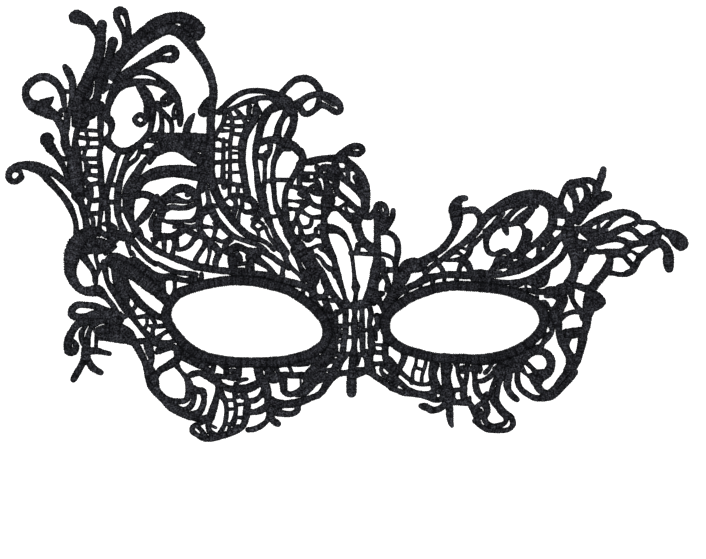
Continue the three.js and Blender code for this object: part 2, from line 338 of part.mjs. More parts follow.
    ['shoulder fill', [[76, 335, 10], [86, 334, 9], [95, 338]]],
    ['shoulder fill low', [[74, 327, 8], [83, 328, 4], [92, 330, 6]]],
    ['stay net 1', [[101, 241, 5], [105.5, 241, 5.5], [110, 241, 4]]],
    ['stay net 2', [[98, 219, 5], [103, 219], [109, 215, 6]]],
    ['stay net 3', [[111, 246, 4], [120, 247]]],
    ['stay net 4', [[112, 233, 5], [121, 233, 8], [123, 227, 5]]],
    ['stay fill', [[100, 208, 8], [108, 209], [117, 209], [127, 207, 6]]],
    ['stay net 5', [[103, 258.5, 4], [106.3, 258.5, 6], [110, 257, 4]]],
    ['ladder top fill', [[75.5, 318.6, 7], [79, 319.6, 9], [82, 324, 4.5], [88, 326.3, 3]]],
  ],
  leftTemple: [
    ['second crescent', [[95, 176, 6], [91, 181, 4], [90.3, 189, 4.5], [97, 194.5, 10], [103.5, 199, 11],
      [111, 206.3, 9.5], [120.5, 205.5, 9], [128.5, 199.5, 7], [132.5, 194, 5.5], [138.5, 187.3],
      [144.5, 182], [150, 178.8]]],
    ['crescent inner', [[121.5, 201, 6], [123, 194.5, 4.5], [124.8, 188, 3]]],
    ['crescent link', [[82, 203, 9], [90, 201, 10], [97, 201, 8]]],
    ['crescent link 2', [[79, 190, 4], [80, 198, 8], [86, 199]]],
    ['crescent strut', [[90, 160, 4.5], [90.2, 167], [93, 174, 5], [91, 181, 4], [89.8, 187, 4.5],
      [90, 195, 5]]],
    ['temple cord 1', [[102, 184, 6], [107, 186, 9], [112, 186, 8], [117, 184, 7], [122, 181.5, 8],
      [128, 181, 11], [133, 178, 10], [140, 172.6], [148, 167.2, 9.5], [156, 165.3, 8.3], [164, 166.2, 7.6],
      [170, 164.8, 6], [178, 162.7, 5.5], [190, 162.5, 8]]],
    ['temple cord 2', [[108, 180, 14], [120, 174, 15], [132, 166, 13], [143, 157.5], [152.3, 150.5, 12],
      [160.3, 143.3, 11], [164, 139, 10]]],
    ['temple cord 3', [[98, 181, 7], [98.8, 174.5], [100, 168, 6], [101.3, 162, 5], [104.7, 156, 6.8],
      [109.3, 149.5, 7.4], [113.8, 141.8], [118.5, 134.5, 6.5], [123.3, 128.7, 6], [127, 124.5, 5.5],
      [130.7, 120], [134.3, 115.5], [139, 110.5, 6.5], [144, 105.5, 8], [150, 101, 9], [156, 98, 8],
      [166, 96, 7], [176, 92, 9]]],
    ['temple cord 4', [[110, 176, 11], [112, 163], [116, 153], [120, 146, 9], [121.2, 139, 4.8],
      [123.8, 134.5, 4.4], [126.3, 130.3, 6], [130, 126, 4.2], [137, 126.5, 4.6], [144, 126, 4],
      [149, 119.5, 4.6], [146.6, 112], [147, 104, 6]]],
    ['temple cord 5', [[118.5, 176, 10], [118.3, 163, 9], [122, 154], [128, 147, 8.5], [132.7, 141],
      [138, 136, 8], [145, 131, 7], [151, 127], [158, 124, 6], [162, 118, 7]]],
    ['temple net 1', [[129.9, 141, 3.4], [129, 136, 4.6], [126, 132.5, 4]]],
    ['temple net 2', [[140, 128, 4], [141, 120, 3.5], [138, 113, 5]]],
    ['temple net 3', [[144, 117, 4], [152, 116.6, 5], [161, 117.7]]],
    ['temple net 4', [[150, 103, 7], [157, 109.2, 4.2], [163, 112.5, 5]]],
    ['temple net 5', [[156, 99, 8], [164, 101, 4], [171, 103, 6]]],
    ['temple post 1', [[157, 164, 6], [157, 155], [158, 146, 7]]],
    ['temple post 2', [[168.5, 165, 5], [168.8, 156, 4], [168, 147, 6]]],
    ['temple cord 6', [[168, 149, 7], [175, 153, 6], [183, 156, 5], [191, 158, 6]]],
    ['temple corner', [[148, 161, 5], [154, 159.5]]],
  ],
  leftCheek: [
    ['outer cord', [[125.5, 103.7, 8.5], [130.5, 97, 7.6], [135, 89], [138.8, 81, 7], [140.7, 73, 6.5],
      [142.2, 65, 6.6], [145, 57, 7.2], [150, 50.8, 7.6], [157, 44, 7.4], [164, 36.7, 8.8], [171.8, 32],
      [180.5, 28, 8.6], [189.5, 25.2, 7.6], [197, 24.4, 6.6], [203, 25, 8]]],
    ['cheek loop', [[141, 101, 9], [143.3, 93, 9.4], [145.5, 84, 6.6], [143.8, 77], [146.5, 69.5, 8.6],
      [149, 61], [150.7, 54, 6.8], [156, 47, 6.6], [164, 42.5, 6.5], [173, 41.5, 6], [180, 43],
      [183, 50, 8], [183.2, 58, 8.6], [180.5, 65, 6.2], [176.6, 69.7, 4.4], [173, 74, 4.6],
      [170.5, 78, 7]]],
    ['cheek loop fill', [[150, 66, 6], [154, 72.5, 7], [160, 76, 7.4], [167, 80.3, 9.6], [171.5, 84, 8],
      [172, 91, 9]]],
    ['cheek band', [[181.5, 66.5, 4.6], [186.5, 68.7, 7], [193, 69.9, 5.8], [200, 67.8, 8.2],
      [206.5, 64, 9], [211.2, 58, 5], [211.4, 52, 4.8], [209.9, 43, 6.8], [207.2, 34, 8.7], [204.6, 26, 9],
      [202.3, 18, 6], [204, 11], [210, 7.5]]],
    ['cheek lower fill', [[168, 36, 8], [177, 32.5, 7], [184, 36, 6], [187.5, 42], [188, 49]]],
    ['cheek finger', [[187, 55, 7], [192, 52.3], [196.5, 51.8, 7.6], [198, 44, 6], [196.8, 37, 6.4],
      [193, 30.5, 7.5], [186, 28, 8]]],
    ['cheek bit cord', [[171, 88, 7], [178, 84, 5], [186, 80.3, 5.5], [193, 77], [200, 74.5, 5],
      [206, 71, 6]]],
    ['leaf right', [[213, 60, 8], [214.5, 50], [219, 42, 5.5], [220.5, 33, 4.5], [220, 25, 5],
      [218, 17, 4.5], [214, 10, 5.5]]],
    ['tip leaf', [[199, 21.5, 5], [192.5, 19], [187, 16, 5.5], [186.3, 12, 6], [191, 8, 5], [198, 4.6, 6.6],
      [205, 4.4], [213, 6.4, 7], [222, 9, 6.6], [231, 12.6], [237.3, 18], [240, 26, 7.4], [241, 35, 8],
      [243, 41.5, 6], [249, 42.7], [255, 47.7, 5.5], [258.3, 56, 7], [253, 66, 8]]],
    ['tip leaf inner', [[190, 18, 5], [195, 13, 4.5], [199, 7, 6]]],
    ['leaf foot net', [[205, 17.5, 3], [210, 15]]],
    ['cheek net 1', [[216, 57, 7], [224, 54], [233, 54, 9], [240.5, 54.3], [247, 56.7, 9.5], [253, 60, 8]]],
    ['cheek net 2', [[229, 60, 3], [229, 50, 6], [228.5, 43, 3.5], [230, 36, 4.5], [229.5, 29], [227, 22],
      [224, 18, 3], [223, 12, 5]]],
    ['cheek net 3', [[219, 42.5, 4], [228, 43]]],
    ['cheek net 4', [[220, 33.5, 3.5], [229, 34]]],
    ['cheek net 5', [[219, 19, 4], [227, 19, 5], [231, 25, 3], [238, 25, 5]]],
    ['cheek net 6', [[235, 54, 8], [240, 46, 5], [240, 38]]],
    ['cheek net 7', [[229, 38, 4], [236, 38.5, 3.5], [241, 39, 5]]],
    ['cheek net 8', [[226, 13, 4], [232, 17]]],
    ['under rim band', [[172, 94, 10], [182, 89, 8], [193, 84, 9], [205, 84, 7], [218, 80, 9], [232, 79.5],
      [245, 80], [258, 78, 12], [270, 79, 9], [283, 80.5], [296, 82, 10], [308, 85, 12]]],
    ['under rim fill 1', [[196, 78, 6], [207, 80, 7], [207, 72, 5]]],
    ['under rim fill 2', [[212, 80, 4], [220, 74, 6], [221, 67, 7], [231, 67, 9], [233, 73, 6],
      [234, 78, 5]]],
    ['under rim fill 3', [[211, 67, 6], [219, 66, 5]]],
    ['cheek mid cord', [[252, 78, 9], [253, 69], [258, 61], [261.5, 53, 7.5], [262, 45, 7],
      [261.5, 37, 6.5], [264, 30, 8], [266.5, 23, 7], [272, 19]]],
    ['cheek mid fill', [[262, 74, 8], [266, 65.3, 12.4], [276, 66, 9], [277.5, 58, 8], [278.5, 51.3, 7],
      [284, 48.6, 6.2], [291, 51, 5.4], [297, 55, 7.6], [300.5, 61, 7], [298, 67], [288, 67.5, 6.5],
      [278, 68, 7]]],
    ['cheek mid net 1', [[268, 74, 5], [272, 72.3, 4]]],
    ['cheek mid net 2', [[283, 77, 4], [286, 70]]],
    ['cheek mid post', [[294.5, 65, 2], [294.7, 57]]],
    ['bottom cord', [[259, 48, 6], [264.5, 43, 9], [271, 39.5, 9.6], [280, 38.8, 8.2], [289, 39.8, 8.4],
      [297, 42], [305, 45, 6.2], [312, 47.8, 6.6], [317, 52.5, 7], [320, 58, 8], [325, 63.5, 7], [332, 69],
      [339, 70, 6], [346, 70, 8]]],
    ['bottom tab', [[262, 34, 7], [271, 31, 9], [279, 29, 6.5], [287, 29.5, 6], [291.5, 33, 6.5],
      [291, 39, 7]]],
    ['bottom leaf', [[242, 13, 5.5], [248, 13.8, 6], [255, 17], [260.7, 22, 5], [263.3, 28.5, 6]]],
    ['bottom leaf top', [[240, 32, 7], [247, 30.8, 6], [254, 32.5, 8], [260, 36]]],
    ['bottom slit upper cord', [[290, 47, 3], [298, 49.5, 6], [304, 55, 7], [310, 62, 8], [318, 66, 10]]],
    ['nose left fill 1', [[298, 66, 6], [305, 71, 10], [312, 77, 12], [320, 86, 13], [325, 96, 11],
      [325, 106, 10], [323, 116], [322, 126], [320, 136, 8]]],
    ['nose left fill 2', [[305, 63, 8], [314, 68, 11], [317, 76, 8], [323, 80.5, 4], [330, 82, 6]]],
    ['cheek top tie', [[132.5, 101.7, 6], [138, 102, 6.5]]],
    ['cheek corner', [[150.7, 90.5, 5], [152.6, 92, 8], [158, 93, 5.4], [164, 93.8, 3]]],
    ['cheek net 9', [[231.5, 60.3, 3.5], [236, 63, 4.5], [241, 63.8, 3.5]]],
    ['cheek net 10', [[225, 72.3, 4.8], [229, 72.3, 4]]],
    ['cheek net 11', [[231.5, 45, 3], [234, 46.7, 4.5], [236.5, 44.5, 3]]],
    ['under rim fill', [[292, 77.3, 3], [302, 78.3, 3.2]]],
  ],
  noseBridge: [
    ['nose cord 1', [[330, 132, 4], [330, 122, 5], [329, 112, 6], [331, 108, 4], [329, 99, 6], [329, 91],
      [320, 80, 5]]],
    ['nose cord 2', [[337, 140, 8], [339.5, 131, 6.5], [339.5, 122, 6], [339.5, 112, 7], [338, 102, 6.5],
      [337, 93], [335, 86, 7], [330, 78, 6], [327, 71, 8], [322, 62, 9]]],
    ['nose bar 1', [[330, 117, 5], [338, 117]]],
    ['nose bar 2', [[329, 101, 5], [337, 101.5, 4]]],
    ['nose bar 3', [[328, 89, 6], [338, 88, 5]]],
    ['nose bar 4', [[319, 73, 4], [327, 73]]],
    ['nose middle', [[349, 138, 7], [348.7, 128, 5], [348.5, 118, 8], [348.7, 108, 7], [348.3, 98, 5.5],
      [347.5, 88, 9], [346.5, 79, 8], [346, 69, 9.5], [345.5, 60, 10.5], [345.5, 50]]],
    ['nose bar 5', [[338, 118.5, 4], [348, 119], [356, 119, 5]]],
    ['nose bar 6', [[340, 106, 4], [348, 106], [355, 108, 5]]],
    ['nose bar 7', [[337, 89, 5], [346, 89], [357, 88]]],
    ['nose cord 4', [[355, 140, 8], [356, 131, 5], [356, 121, 6], [356, 111, 7], [356.5, 101, 6], [357, 92],
      [361, 84, 7], [362, 76, 8], [358, 71, 6], [350, 68, 7]]],
    ['nose bar 8', [[350, 74, 4], [358, 73.5, 5]]],
    ['nose cord 5', [[363, 138, 5], [365, 129, 6], [363.5, 119, 5], [365, 111, 7], [365, 102, 7.5],
      [366, 94, 8], [364.5, 87, 6], [364, 79, 8], [367, 71, 7]]],
    ['nose bar 9', [[359, 113, 4], [366, 113], [371, 117, 6]]],
    ['nose bar 10', [[357, 92, 5], [366, 91], [378, 90]]],
    ['nose bar 11', [[368, 98.5, 3], [377, 97, 4], [380, 90, 6]]],
    ['nose right fill', [[377, 126, 9], [378, 117, 8], [380, 108, 7], [380, 100], [379, 92], [380, 84],
      [384, 77], [392, 71, 8]]],
    ['nose bar 12', [[371, 127, 7], [371.5, 120, 5], [371, 114, 6]]],
    ['nose lower right', [[350, 68, 6], [357, 71.5, 5.5], [364, 70, 6], [371, 65.5, 6.5], [379, 60, 6],
      [388, 55, 7]]],
    ['nose lower right 2', [[362, 78, 7], [370, 79, 5], [377, 79], [375, 73, 4], [379, 67, 5], [387, 62]]],
    ['nose lower right 3', [[377, 79, 5], [383, 73], [390, 67, 6]]],
    ['bridge foot 1', [[335, 138, 8], [343, 137, 6], [349, 138, 8], [356, 138, 6], [363, 138]]],
    ['bridge foot 2', [[321, 136, 7], [324, 127, 6], [330, 129, 5], [336, 133, 6]]],
    ['bridge foot 3', [[318, 141, 5], [322, 138], [326, 128]]],
    ['bridge foot 4', [[320.5, 143.5, 4], [327.5, 142, 4.5]]],
    ['nose bar 13', [[334, 113.5, 3.6], [333.6, 106]]],
    ['nose bar 14', [[333.5, 74.5, 3.6], [336.7, 81, 3], [340.3, 86, 3.6]]],
    ['nose bar 15', [[353.2, 84.8, 4], [351.7, 78, 2.4]]],
    ['nose bar 16', [[370, 110.5, 3.4], [370.4, 103, 3]]],
    ['ring foot 4', [[375.3, 135.5, 3.4], [377, 131, 3]]],
  ],
  gapsAboveLeftEye: [
    ['fan foot cord 1', [[246, 192, 6], [253, 192.5, 5], [260, 189.5, 6], [267, 185.5], [272, 181.5],
      [277, 178, 5.5], [276.5, 171, 5], [276, 165, 7]]],
    ['fan foot cord 2', [[266, 195, 5], [272, 195, 7], [278, 190], [280, 184, 6], [283, 178, 5.5],
      [288, 172.8, 4.5], [293, 168.5], [299, 164, 8]]],
    ['fan foot cord 3', [[289, 193, 10], [291.5, 186, 7], [293, 180, 5], [296, 173, 6], [301, 168, 8],
      [306, 160, 10]]],
    ['fan foot cord 4', [[246, 190, 8], [251, 184, 9], [257, 179.5, 7], [262.5, 175.5, 6], [267, 169, 7],
      [272, 163.5, 8]]],
    ['fan foot cord 5', [[242, 186, 6], [245, 178, 7], [245, 171, 8]]],
    ['fan foot cord 6', [[276, 178, 5], [283, 174.5]]],
    ['above rim cord', [[232, 169, 8], [243, 169, 7], [255, 168.5], [267, 166.5], [278, 162.5],
      [289, 159.5, 8], [299, 156.5, 7], [306, 151], [307, 142, 8], [313, 134]]],
    ['above rim link 1', [[298, 157, 4], [297, 150, 4.5], [297, 144, 6]]],
  ],
  wispLegs: [
    ['left leg', [[78, 83, 7], [74.5, 76], [70.5, 69, 7.5], [67.3, 63.3, 6.5]]],
    ['right leg', [[82, 83, 7], [86, 76, 7.5], [91, 72.3, 7], [95, 70.3, 5.5]]],
  ],
  plumeNet: [
    ['net rail 1', [[217.5, 304, 4], [217.5, 294], [217.3, 285, 4.5], [217, 274, 5], [217, 264, 5.5],
      [218, 256, 6]]],
    ['net rail 2', [[222.8, 331.5, 4.6], [225.5, 325.5, 4.4], [226.3, 314, 5], [224.3, 302, 4.6],
      [224, 290, 4.2], [224, 278, 4], [224, 268, 4.5], [223.5, 258, 6]]],
    ['net rail 3', [[229, 333.3, 3.5], [232, 331, 5.6], [236.5, 326, 4.8], [241, 318, 5]]],
    ['net bar 1', [[207, 302, 4], [212, 304], [217, 302], [224, 302]]],
    ['net bar 2', [[207, 293.5, 5], [217, 293], [224, 295.5, 4], [236, 294.5, 4.5]]],
    ['net bar 3', [[207, 280.5, 5], [217, 281], [225, 282, 4.5], [237, 282, 5]]],
    ['net bar 4', [[207, 262, 7], [217, 262], [225, 259.5, 5], [237, 257]]],
    ['net bar 5', [[224, 270.5, 3.5], [237, 271]]],
    ['net bar 6', [[225, 290, 3], [236, 290]]],
    ['net bar 7', [[217, 270.5, 3], [224, 271]]],
    ['net bar 8', [[216, 318, 4], [222, 318], [230, 317, 4.5], [240, 317, 5]]],
    ['net bar 9', [[220, 325, 4], [229, 325, 4.5], [237, 326], [245, 324.5, 4]]],
    ['net bar 10', [[243.5, 336.5, 6], [242.7, 331, 5.4], [243.5, 326.5, 4]]],
    ['net bar 11', [[215.8, 312.7, 5], [220, 312.3, 3.5], [224, 312.5, 3]]],
    ['net bar 12', [[228, 309.3, 4.4], [235, 308.5, 5]]],
    ['net valley', [[244, 246, 4], [247.3, 241, 7], [249.3, 235, 8], [247.5, 230, 7]]],
  ],
  leafBesideSwirl: [
    ['leaf top', [[126, 248, 7], [131, 248, 8], [136, 248.8, 7], [142, 247.8, 8], [149, 244.5, 7]]],
    ['leaf right', [[148, 244, 7], [144.5, 236, 8], [140, 229, 9.5], [134.5, 223, 7.5], [130, 218, 6]]],
    ['leaf side', [[149, 231, 3], [146.6, 225, 5], [144.8, 219, 5.6], [145.5, 213, 4]]],
    ['leaf foot', [[130, 214, 5], [133, 213.6], [136.3, 207, 4]]],
  ],
  rightBrow: [
    ['dome cord', [[374, 211, 7], [381, 210.6, 5.4], [386.6, 208, 5.6], [390.7, 202.6, 6], [392, 196, 6.6],
      [391.6, 188], [389.8, 180, 6.4], [389.5, 173, 6]]],
    ['dome foot', [[372, 189.5, 5.5], [380, 188, 4.5], [386, 185, 4], [389.5, 180, 6]]],
    ['dome net', [[376, 182, 7], [377, 174, 8], [386, 173, 6]]],
    ['dome post', [[377, 174, 8], [379.3, 167, 6], [381.8, 160.5, 5.5], [382, 154, 8]]],
    ['brow rib 1', [[389.5, 173, 6], [390.6, 165, 7.6], [389.5, 156.5, 9], [386, 147, 12], [382, 138]]],
    ['brow upper cord', [[396, 172, 9], [399, 179, 7], [406, 182], [413, 181.5], [419, 184.5, 6],
      [426, 188, 6.5], [432, 191, 7], [438, 196, 7.6], [443.5, 203, 7.5], [448.2, 211], [450.7, 219, 10],
      [450.5, 226, 14], [449.5, 234, 14.5]]],
    ['brow fill 1', [[393, 164, 8], [398, 170, 10], [405, 175, 11], [414, 176, 10], [422, 182, 5],
      [430, 185]]],
    ['brow fill 2', [[391, 156, 8], [398.3, 162, 6.5], [401.5, 168]]],
    ['brow middle cord', [[419, 171, 7], [426, 176.5, 5], [433, 181.5, 6], [440, 187], [447, 193.7, 4.6],
      [454.5, 198.2, 5.5], [461.5, 204.2, 6.2], [468.5, 211], [473.8, 218.5, 6.5], [474, 226, 7.5],
      [468.7, 232.6], [461, 232.6, 7], [455, 231.5]]],
    ['brow middle cord 2', [[440, 185, 6], [446.5, 190, 4.5], [453, 195, 4], [459, 200, 5],
      [465.5, 205.5, 7], [471.5, 212, 6], [477.3, 219.5, 5.5], [483, 226], [490, 231, 6], [499, 235],
      [508, 238.5, 7], [518, 241.5], [529, 242.5, 8], [538.5, 240.5], [544, 234, 6.5], [545.5, 225, 6.8],
      [544, 216, 7.5], [539, 208.5, 8], [532, 201.5, 7], [525, 196.5, 6.5], [517, 190.5, 7]]],
    ['brow net 1', [[451, 196, 3], [457.5, 194.5, 2.5], [463, 193, 5]]],
    ['brow net 2', [[445, 183, 3], [452, 184, 4], [458, 185, 7], [463, 190, 6], [464.5, 194.5]]],
    ['brow net 3', [[434, 184, 3], [440, 182.5], [450, 182.5], [458, 182, 8], [462, 178, 7.5],
      [465, 171, 7]]],
    ['brow net 4', [[433, 178, 5], [436.5, 173], [437, 168, 6]]],
    ['brow net 5', [[456, 180, 6], [453.5, 175, 5], [453, 170, 6]]],
    ['brow lower cord', [[388, 146, 8], [396, 151.7, 6.2], [404, 156.2, 7], [411, 159.2, 7.6],
      [420, 164.4, 8.5], [430, 166.6, 7], [440, 168.3], [450, 168.3, 7.5], [461, 167.7, 8],
      [474, 169.2, 9.5], [484, 168.3, 8]]],
    ['slot tie 1', [[401, 155, 5], [400.5, 149], [400, 144]]],
    ['slot tie 2', [[415, 162, 4], [414.5, 155], [414, 150, 5]]],
    ['slot tie 3', [[427, 166, 5], [426.5, 159], [426, 155]]],
    ['slot tie 4', [[438.5, 168, 5], [438.3, 163, 4], [438, 157, 5]]],
    ['slot tie 5', [[451, 168, 5], [450.6, 163], [450.5, 157]]],
    ['slot tie 6', [[466, 168, 8], [470, 163, 9], [482, 162, 8], [494, 160, 7]]],
    ['crest outer cord', [[474, 223, 7], [479, 227, 6], [484, 232, 6.5], [491, 236.5], [499, 241, 8],
      [508, 245, 9], [517, 248], [527, 249, 9.5], [537, 247.5], [546, 243, 8.5], [552.5, 238.5, 9],
      [558, 232, 7.5]]],
    ['crest fill', [[500, 238, 5], [510, 242, 7], [520, 245, 8], [530, 245, 9], [540, 243, 8],
      [550, 236, 9], [553, 228, 8]]],
    ['crest cord 2', [[480, 211, 6], [487.5, 218, 6.5], [492, 224], [497, 230, 5]]],
    ['crest cord 3', [[492, 216, 5], [499.5, 222.5, 6.3], [504.5, 228.5, 6], [510, 233.3, 5],
      [517, 237.5, 4.5], [526, 240, 5]]],
    ['crest cord 4', [[499, 218, 5], [507, 219.5, 6], [513.5, 225, 7.5], [520.5, 231, 6.5],
      [526.5, 235.5, 6], [531, 237, 4.5]]],
    ['scroll ring', [[479.3, 212, 6], [480.2, 205, 6.5], [480.3, 197, 6], [482.7, 191, 5.6],
      [488, 188.7, 5], [494.5, 190.7, 6], [500, 191.8, 6.5], [504.7, 187.5, 6], [510, 189.5],
      [514.5, 196, 6.6], [518, 203, 7.5], [521, 209, 9]]],
    ['scroll ring top', [[485, 216, 6], [491, 217, 5], [498, 219.5], [506, 219, 4.5], [514, 219, 5],
      [518, 214], [519.5, 208, 7]]],
    ['scroll spike', [[497.5, 219, 7], [499.7, 213, 6.6], [501, 209.5, 4.8]]],
    ['scroll lobe', [[517.3, 222, 6], [522.8, 227.5, 5], [526.5, 233, 5.5]]],
    ['scroll lobe tail', [[519.5, 213.5, 3.5], [523, 210.5, 7], [523.3, 205, 6.3], [520, 199, 5.5],
      [514, 192]]],
    ['scroll foot 1', [[484, 171, 5], [489, 177, 7], [492, 184, 6], [500, 184], [506, 179, 5],
      [513, 180, 7], [520, 183, 6], [527, 182, 5], [533, 187, 7], [533, 195, 6]]],
    ['scroll foot 2', [[486, 167.3, 4.5], [494, 167.8, 5], [503, 170.3, 7], [512, 172.8, 8], [521, 176.8],
      [530, 181.8, 8.5], [537.5, 187, 9], [544, 194, 9.5], [550, 201.5, 7.5], [556.5, 208, 6.5],
      [562, 217, 8]]],
    ['scroll foot 3', [[505, 187, 7], [513, 187], [519, 184]]],
    ['scroll foot 4', [[517, 190, 6], [522, 196, 5.5], [530, 199, 6], [537, 200, 8], [542, 205, 7]]],
    ['scroll foot net 1', [[492, 176, 6], [500.5, 176, 3], [507, 172, 4]]],
    ['scroll foot net 2', [[498, 184, 5], [505, 183.5, 4], [506, 176], [513, 177, 3]]],
    ['brow tail net', [[548, 232, 6], [549.5, 224, 4], [548, 216, 5], [544, 209], [547, 203, 6]]],
    ['brow tail net 2', [[549, 215.2, 4.5], [554.5, 215, 4.8], [561, 213.5, 5], [563, 221, 6],
      [561, 227.5, 8], [555, 228]]],
    ['under slit cord', [[494, 160.5, 6], [505, 160.5, 5.5], [516, 161.6, 6.5], [526, 165, 7],
      [534, 169.5, 7.5], [542, 175.2], [549.5, 180.7, 7.6], [556, 187, 7], [560, 195, 6.5], [563, 203, 9]]],
    ['under slit fill', [[505, 157.5, 4], [511, 157], [520, 161, 5], [529, 160, 8], [536, 164],
      [541, 170, 6], [543, 176]]],
    ['under slit fill 2', [[527, 152, 6], [530, 157, 7], [538, 160], [541.5, 167, 5], [542, 173]]],
    ['slot band', [[500, 152, 5], [511, 151.5, 6], [519.5, 153, 5], [529, 151.5, 6], [536, 151],
      [544, 152, 10], [554, 152], [563, 153]]],
    ['slot band 2', [[510.5, 158, 4], [511, 153]]],
    ['slot band 3', [[520, 160, 3], [519.8, 154]]],
    ['right eye side 1', [[531, 147, 4], [532, 141], [539.5, 141], [538, 135, 6], [541, 127], [544, 119],
      [546, 112, 5], [541, 105, 7], [537, 100, 5], [534, 94, 7]]],
    ['right eye side 2', [[540, 147, 5], [547, 147], [552, 143, 4], [550, 137, 5], [548, 130, 9],
      [551, 121, 10], [552.5, 113, 6], [553.5, 105], [556.5, 98, 7], [562, 91.5], [566, 84, 8]]],
    ['right eye side 3', [[546, 134, 5], [544, 126, 4], [546, 118, 5]]],
    ['right eye side 4', [[535, 107, 6], [538.5, 110, 4], [540, 104, 6]]],
    ['brow net 6', [[446.5, 189, 3], [451, 190.7, 4.5], [456, 188, 3.5]]],
    ['brow net 7', [[463.5, 195.5, 6], [467.5, 199.5, 6.5], [472.5, 203.5, 5], [476, 207.5, 4]]],
    ['scroll ring corner', [[482.5, 205, 4], [484, 210, 6], [488.5, 214.5]]],
    ['scroll foot net 3', [[493, 180.6, 3], [499, 180.2, 3.6], [503, 178.7, 3]]],
    ['scroll foot net 4', [[487.5, 171.6, 3], [495, 171]]],
    ['right eye side 5', [[541.3, 140, 3], [543, 134.5, 4]]],
  ],
  rightCheek: [
    ['cheek rib 1', [[383, 84, 7], [388, 78.3, 6], [393.5, 72.3, 5.5], [399.5, 66.6, 4.8], [406, 61.5, 4.5],
      [414, 58.6, 4], [421, 58.7, 4.3], [427, 61, 6]]],
    ['cheek rib 2', [[396.3, 94, 7], [398.2, 87, 6.8], [396, 80, 7], [393, 74, 6]]],
    ['cheek rib 3', [[410.3, 91, 5], [410.3, 83, 3.2], [409.3, 77, 4], [407, 71, 3.6], [406.4, 65, 4],
      [406, 60.5, 6]]],
    ['cheek rib 4', [[411, 75, 3.5], [417, 73.5], [419, 76, 3]]],
    ['cheek rib 5', [[419, 88, 6], [419.8, 81, 3.6], [418.2, 74, 4], [416, 67, 3.7], [415.5, 60, 4]]],
    ['cheek rib 6', [[428, 85, 6], [426, 76, 6.5], [425.2, 68, 5.8], [427, 60, 6.5], [428, 52, 6],
      [428, 46]]],
    ['cheek rib 7', [[430, 78, 8], [428.5, 70, 5], [430, 63, 4.5], [432, 56, 7]]],
    ['cheek rib 8', [[438, 86, 9], [440.5, 77, 12.5], [440, 69, 10.5], [440.6, 60], [442.3, 53, 11],
      [444, 46, 8]]],
    ['cheek rib 9', [[449, 82, 7], [451.5, 76, 5], [452, 69, 4], [455, 62, 5.5], [458, 55, 7], [457, 47]]],
    ['cheek rib 10', [[462, 82, 6], [461, 74], [460.5, 66, 5], [459, 58]]],
    ['cheek rib 11', [[470, 82, 8], [469, 74], [468.8, 66, 5.2], [469.7, 57.5, 7], [471.5, 51],
      [475.5, 45.5, 6]]],
    ['cheek rib 12', [[456, 75, 6], [465, 74], [474, 75], [474, 70, 3]]],
    ['cheek rib 13', [[470, 62, 4], [476, 62, 5.5], [482, 65], [488, 70, 6.5], [494, 76, 7], [500, 82, 8]]],
    ['cheek rib 14', [[479, 70, 5], [483.5, 75, 4], [486, 80, 5]]],
    ['cheek fill 1', [[475, 82, 9], [486, 83], [497, 86], [508, 90], [519, 95], [528, 103, 8]]],
    ['cheek fill 2', [[488, 74, 4], [495, 79, 5], [505, 82, 9], [514, 87], [524, 92, 8], [532, 96, 6]]],
    ['cheek fill 3', [[493, 70, 8], [503, 73, 10], [513, 78], [519, 86, 9], [527, 91, 8], [536, 91.5],
      [543, 86.5, 9], [545, 79], [542, 71, 10], [535, 65.5], [531.5, 58, 9], [536, 51.5, 7], [543, 49]]],
    ['cheek ring side', [[516, 82, 7], [520.5, 80, 5], [525.5, 75.5, 4.5], [530, 71, 6], [537, 70, 8]]],
    ['cheek ring foot', [[515, 76, 6], [517.5, 72, 5], [521, 68, 3], [526, 66, 9], [529, 60, 7]]],
    ['rosette 1', [[502, 75, 7], [503, 67], [501.3, 60, 8], [502.3, 53, 7], [506, 47.5, 6.5],
      [511, 43.3, 6]]],
    ['rosette 2', [[497, 74, 6], [496, 66], [493.5, 60, 5], [491.5, 52, 5.5], [491, 44, 5.2],
      [493.3, 37.3, 5.6], [498.5, 31, 6], [505, 25.5, 6.5], [507, 19, 6], [503.5, 14, 5], [497, 12.3],
      [489, 12.2], [481, 13], [474.5, 17], [469, 22, 6]]],
    ['rosette 3', [[492.5, 68, 5.5], [488.5, 61, 5], [486, 54], [485.8, 47, 6.5], [487.5, 41], [491, 36, 5],
      [494.5, 31, 5.5], [499.5, 26], [499.5, 21, 5], [494, 17.5, 6], [487, 16.5], [481, 19.5], [478.5, 25],
      [481, 31, 7], [480.5, 37], [478, 43], [481, 49, 6]]],
    ['rosette 4', [[511, 78, 7], [511.5, 70, 6], [511.5, 62], [514.5, 54.5], [521, 49], [529, 45, 6.5],
      [538, 45, 7], [546, 46.8], [552.5, 51.5, 6], [558, 57.5], [564, 64, 6.5], [569, 71, 7]]],
    ['rosette 5', [[543, 49, 7], [549, 55.5, 6], [553.5, 62], [559, 68.5, 6.5], [564, 75], [568, 81, 7]]],
    ['cheek rib 8 foot', [[444, 52, 5], [449, 52.7], [455, 53.3]]],
    ['cheek rib 9 bar', [[453, 71, 4], [458, 71, 4.5]]],
  ],
  rightCheekLower: [
    ['nose to cheek cord', [[383.5, 68.5, 4], [388, 66, 6], [394, 60.2, 6.2], [400, 55.3, 5.3],
      [407, 51.2, 6], [415, 49.2], [423, 49.2, 5.7], [431, 52.5, 7.5], [440, 50, 8]]],
    ['under cord', [[385, 55, 6], [391, 52.5, 5.5], [398, 50, 6.5], [406, 48.8, 5.6], [414, 47.8],
      [421, 46, 6], [427, 43.8, 6.4], [434, 43.3, 5.4], [438, 48, 7], [442, 54, 8]]],
    ['under cord fill', [[387.5, 63, 6], [390.5, 57, 4]]],
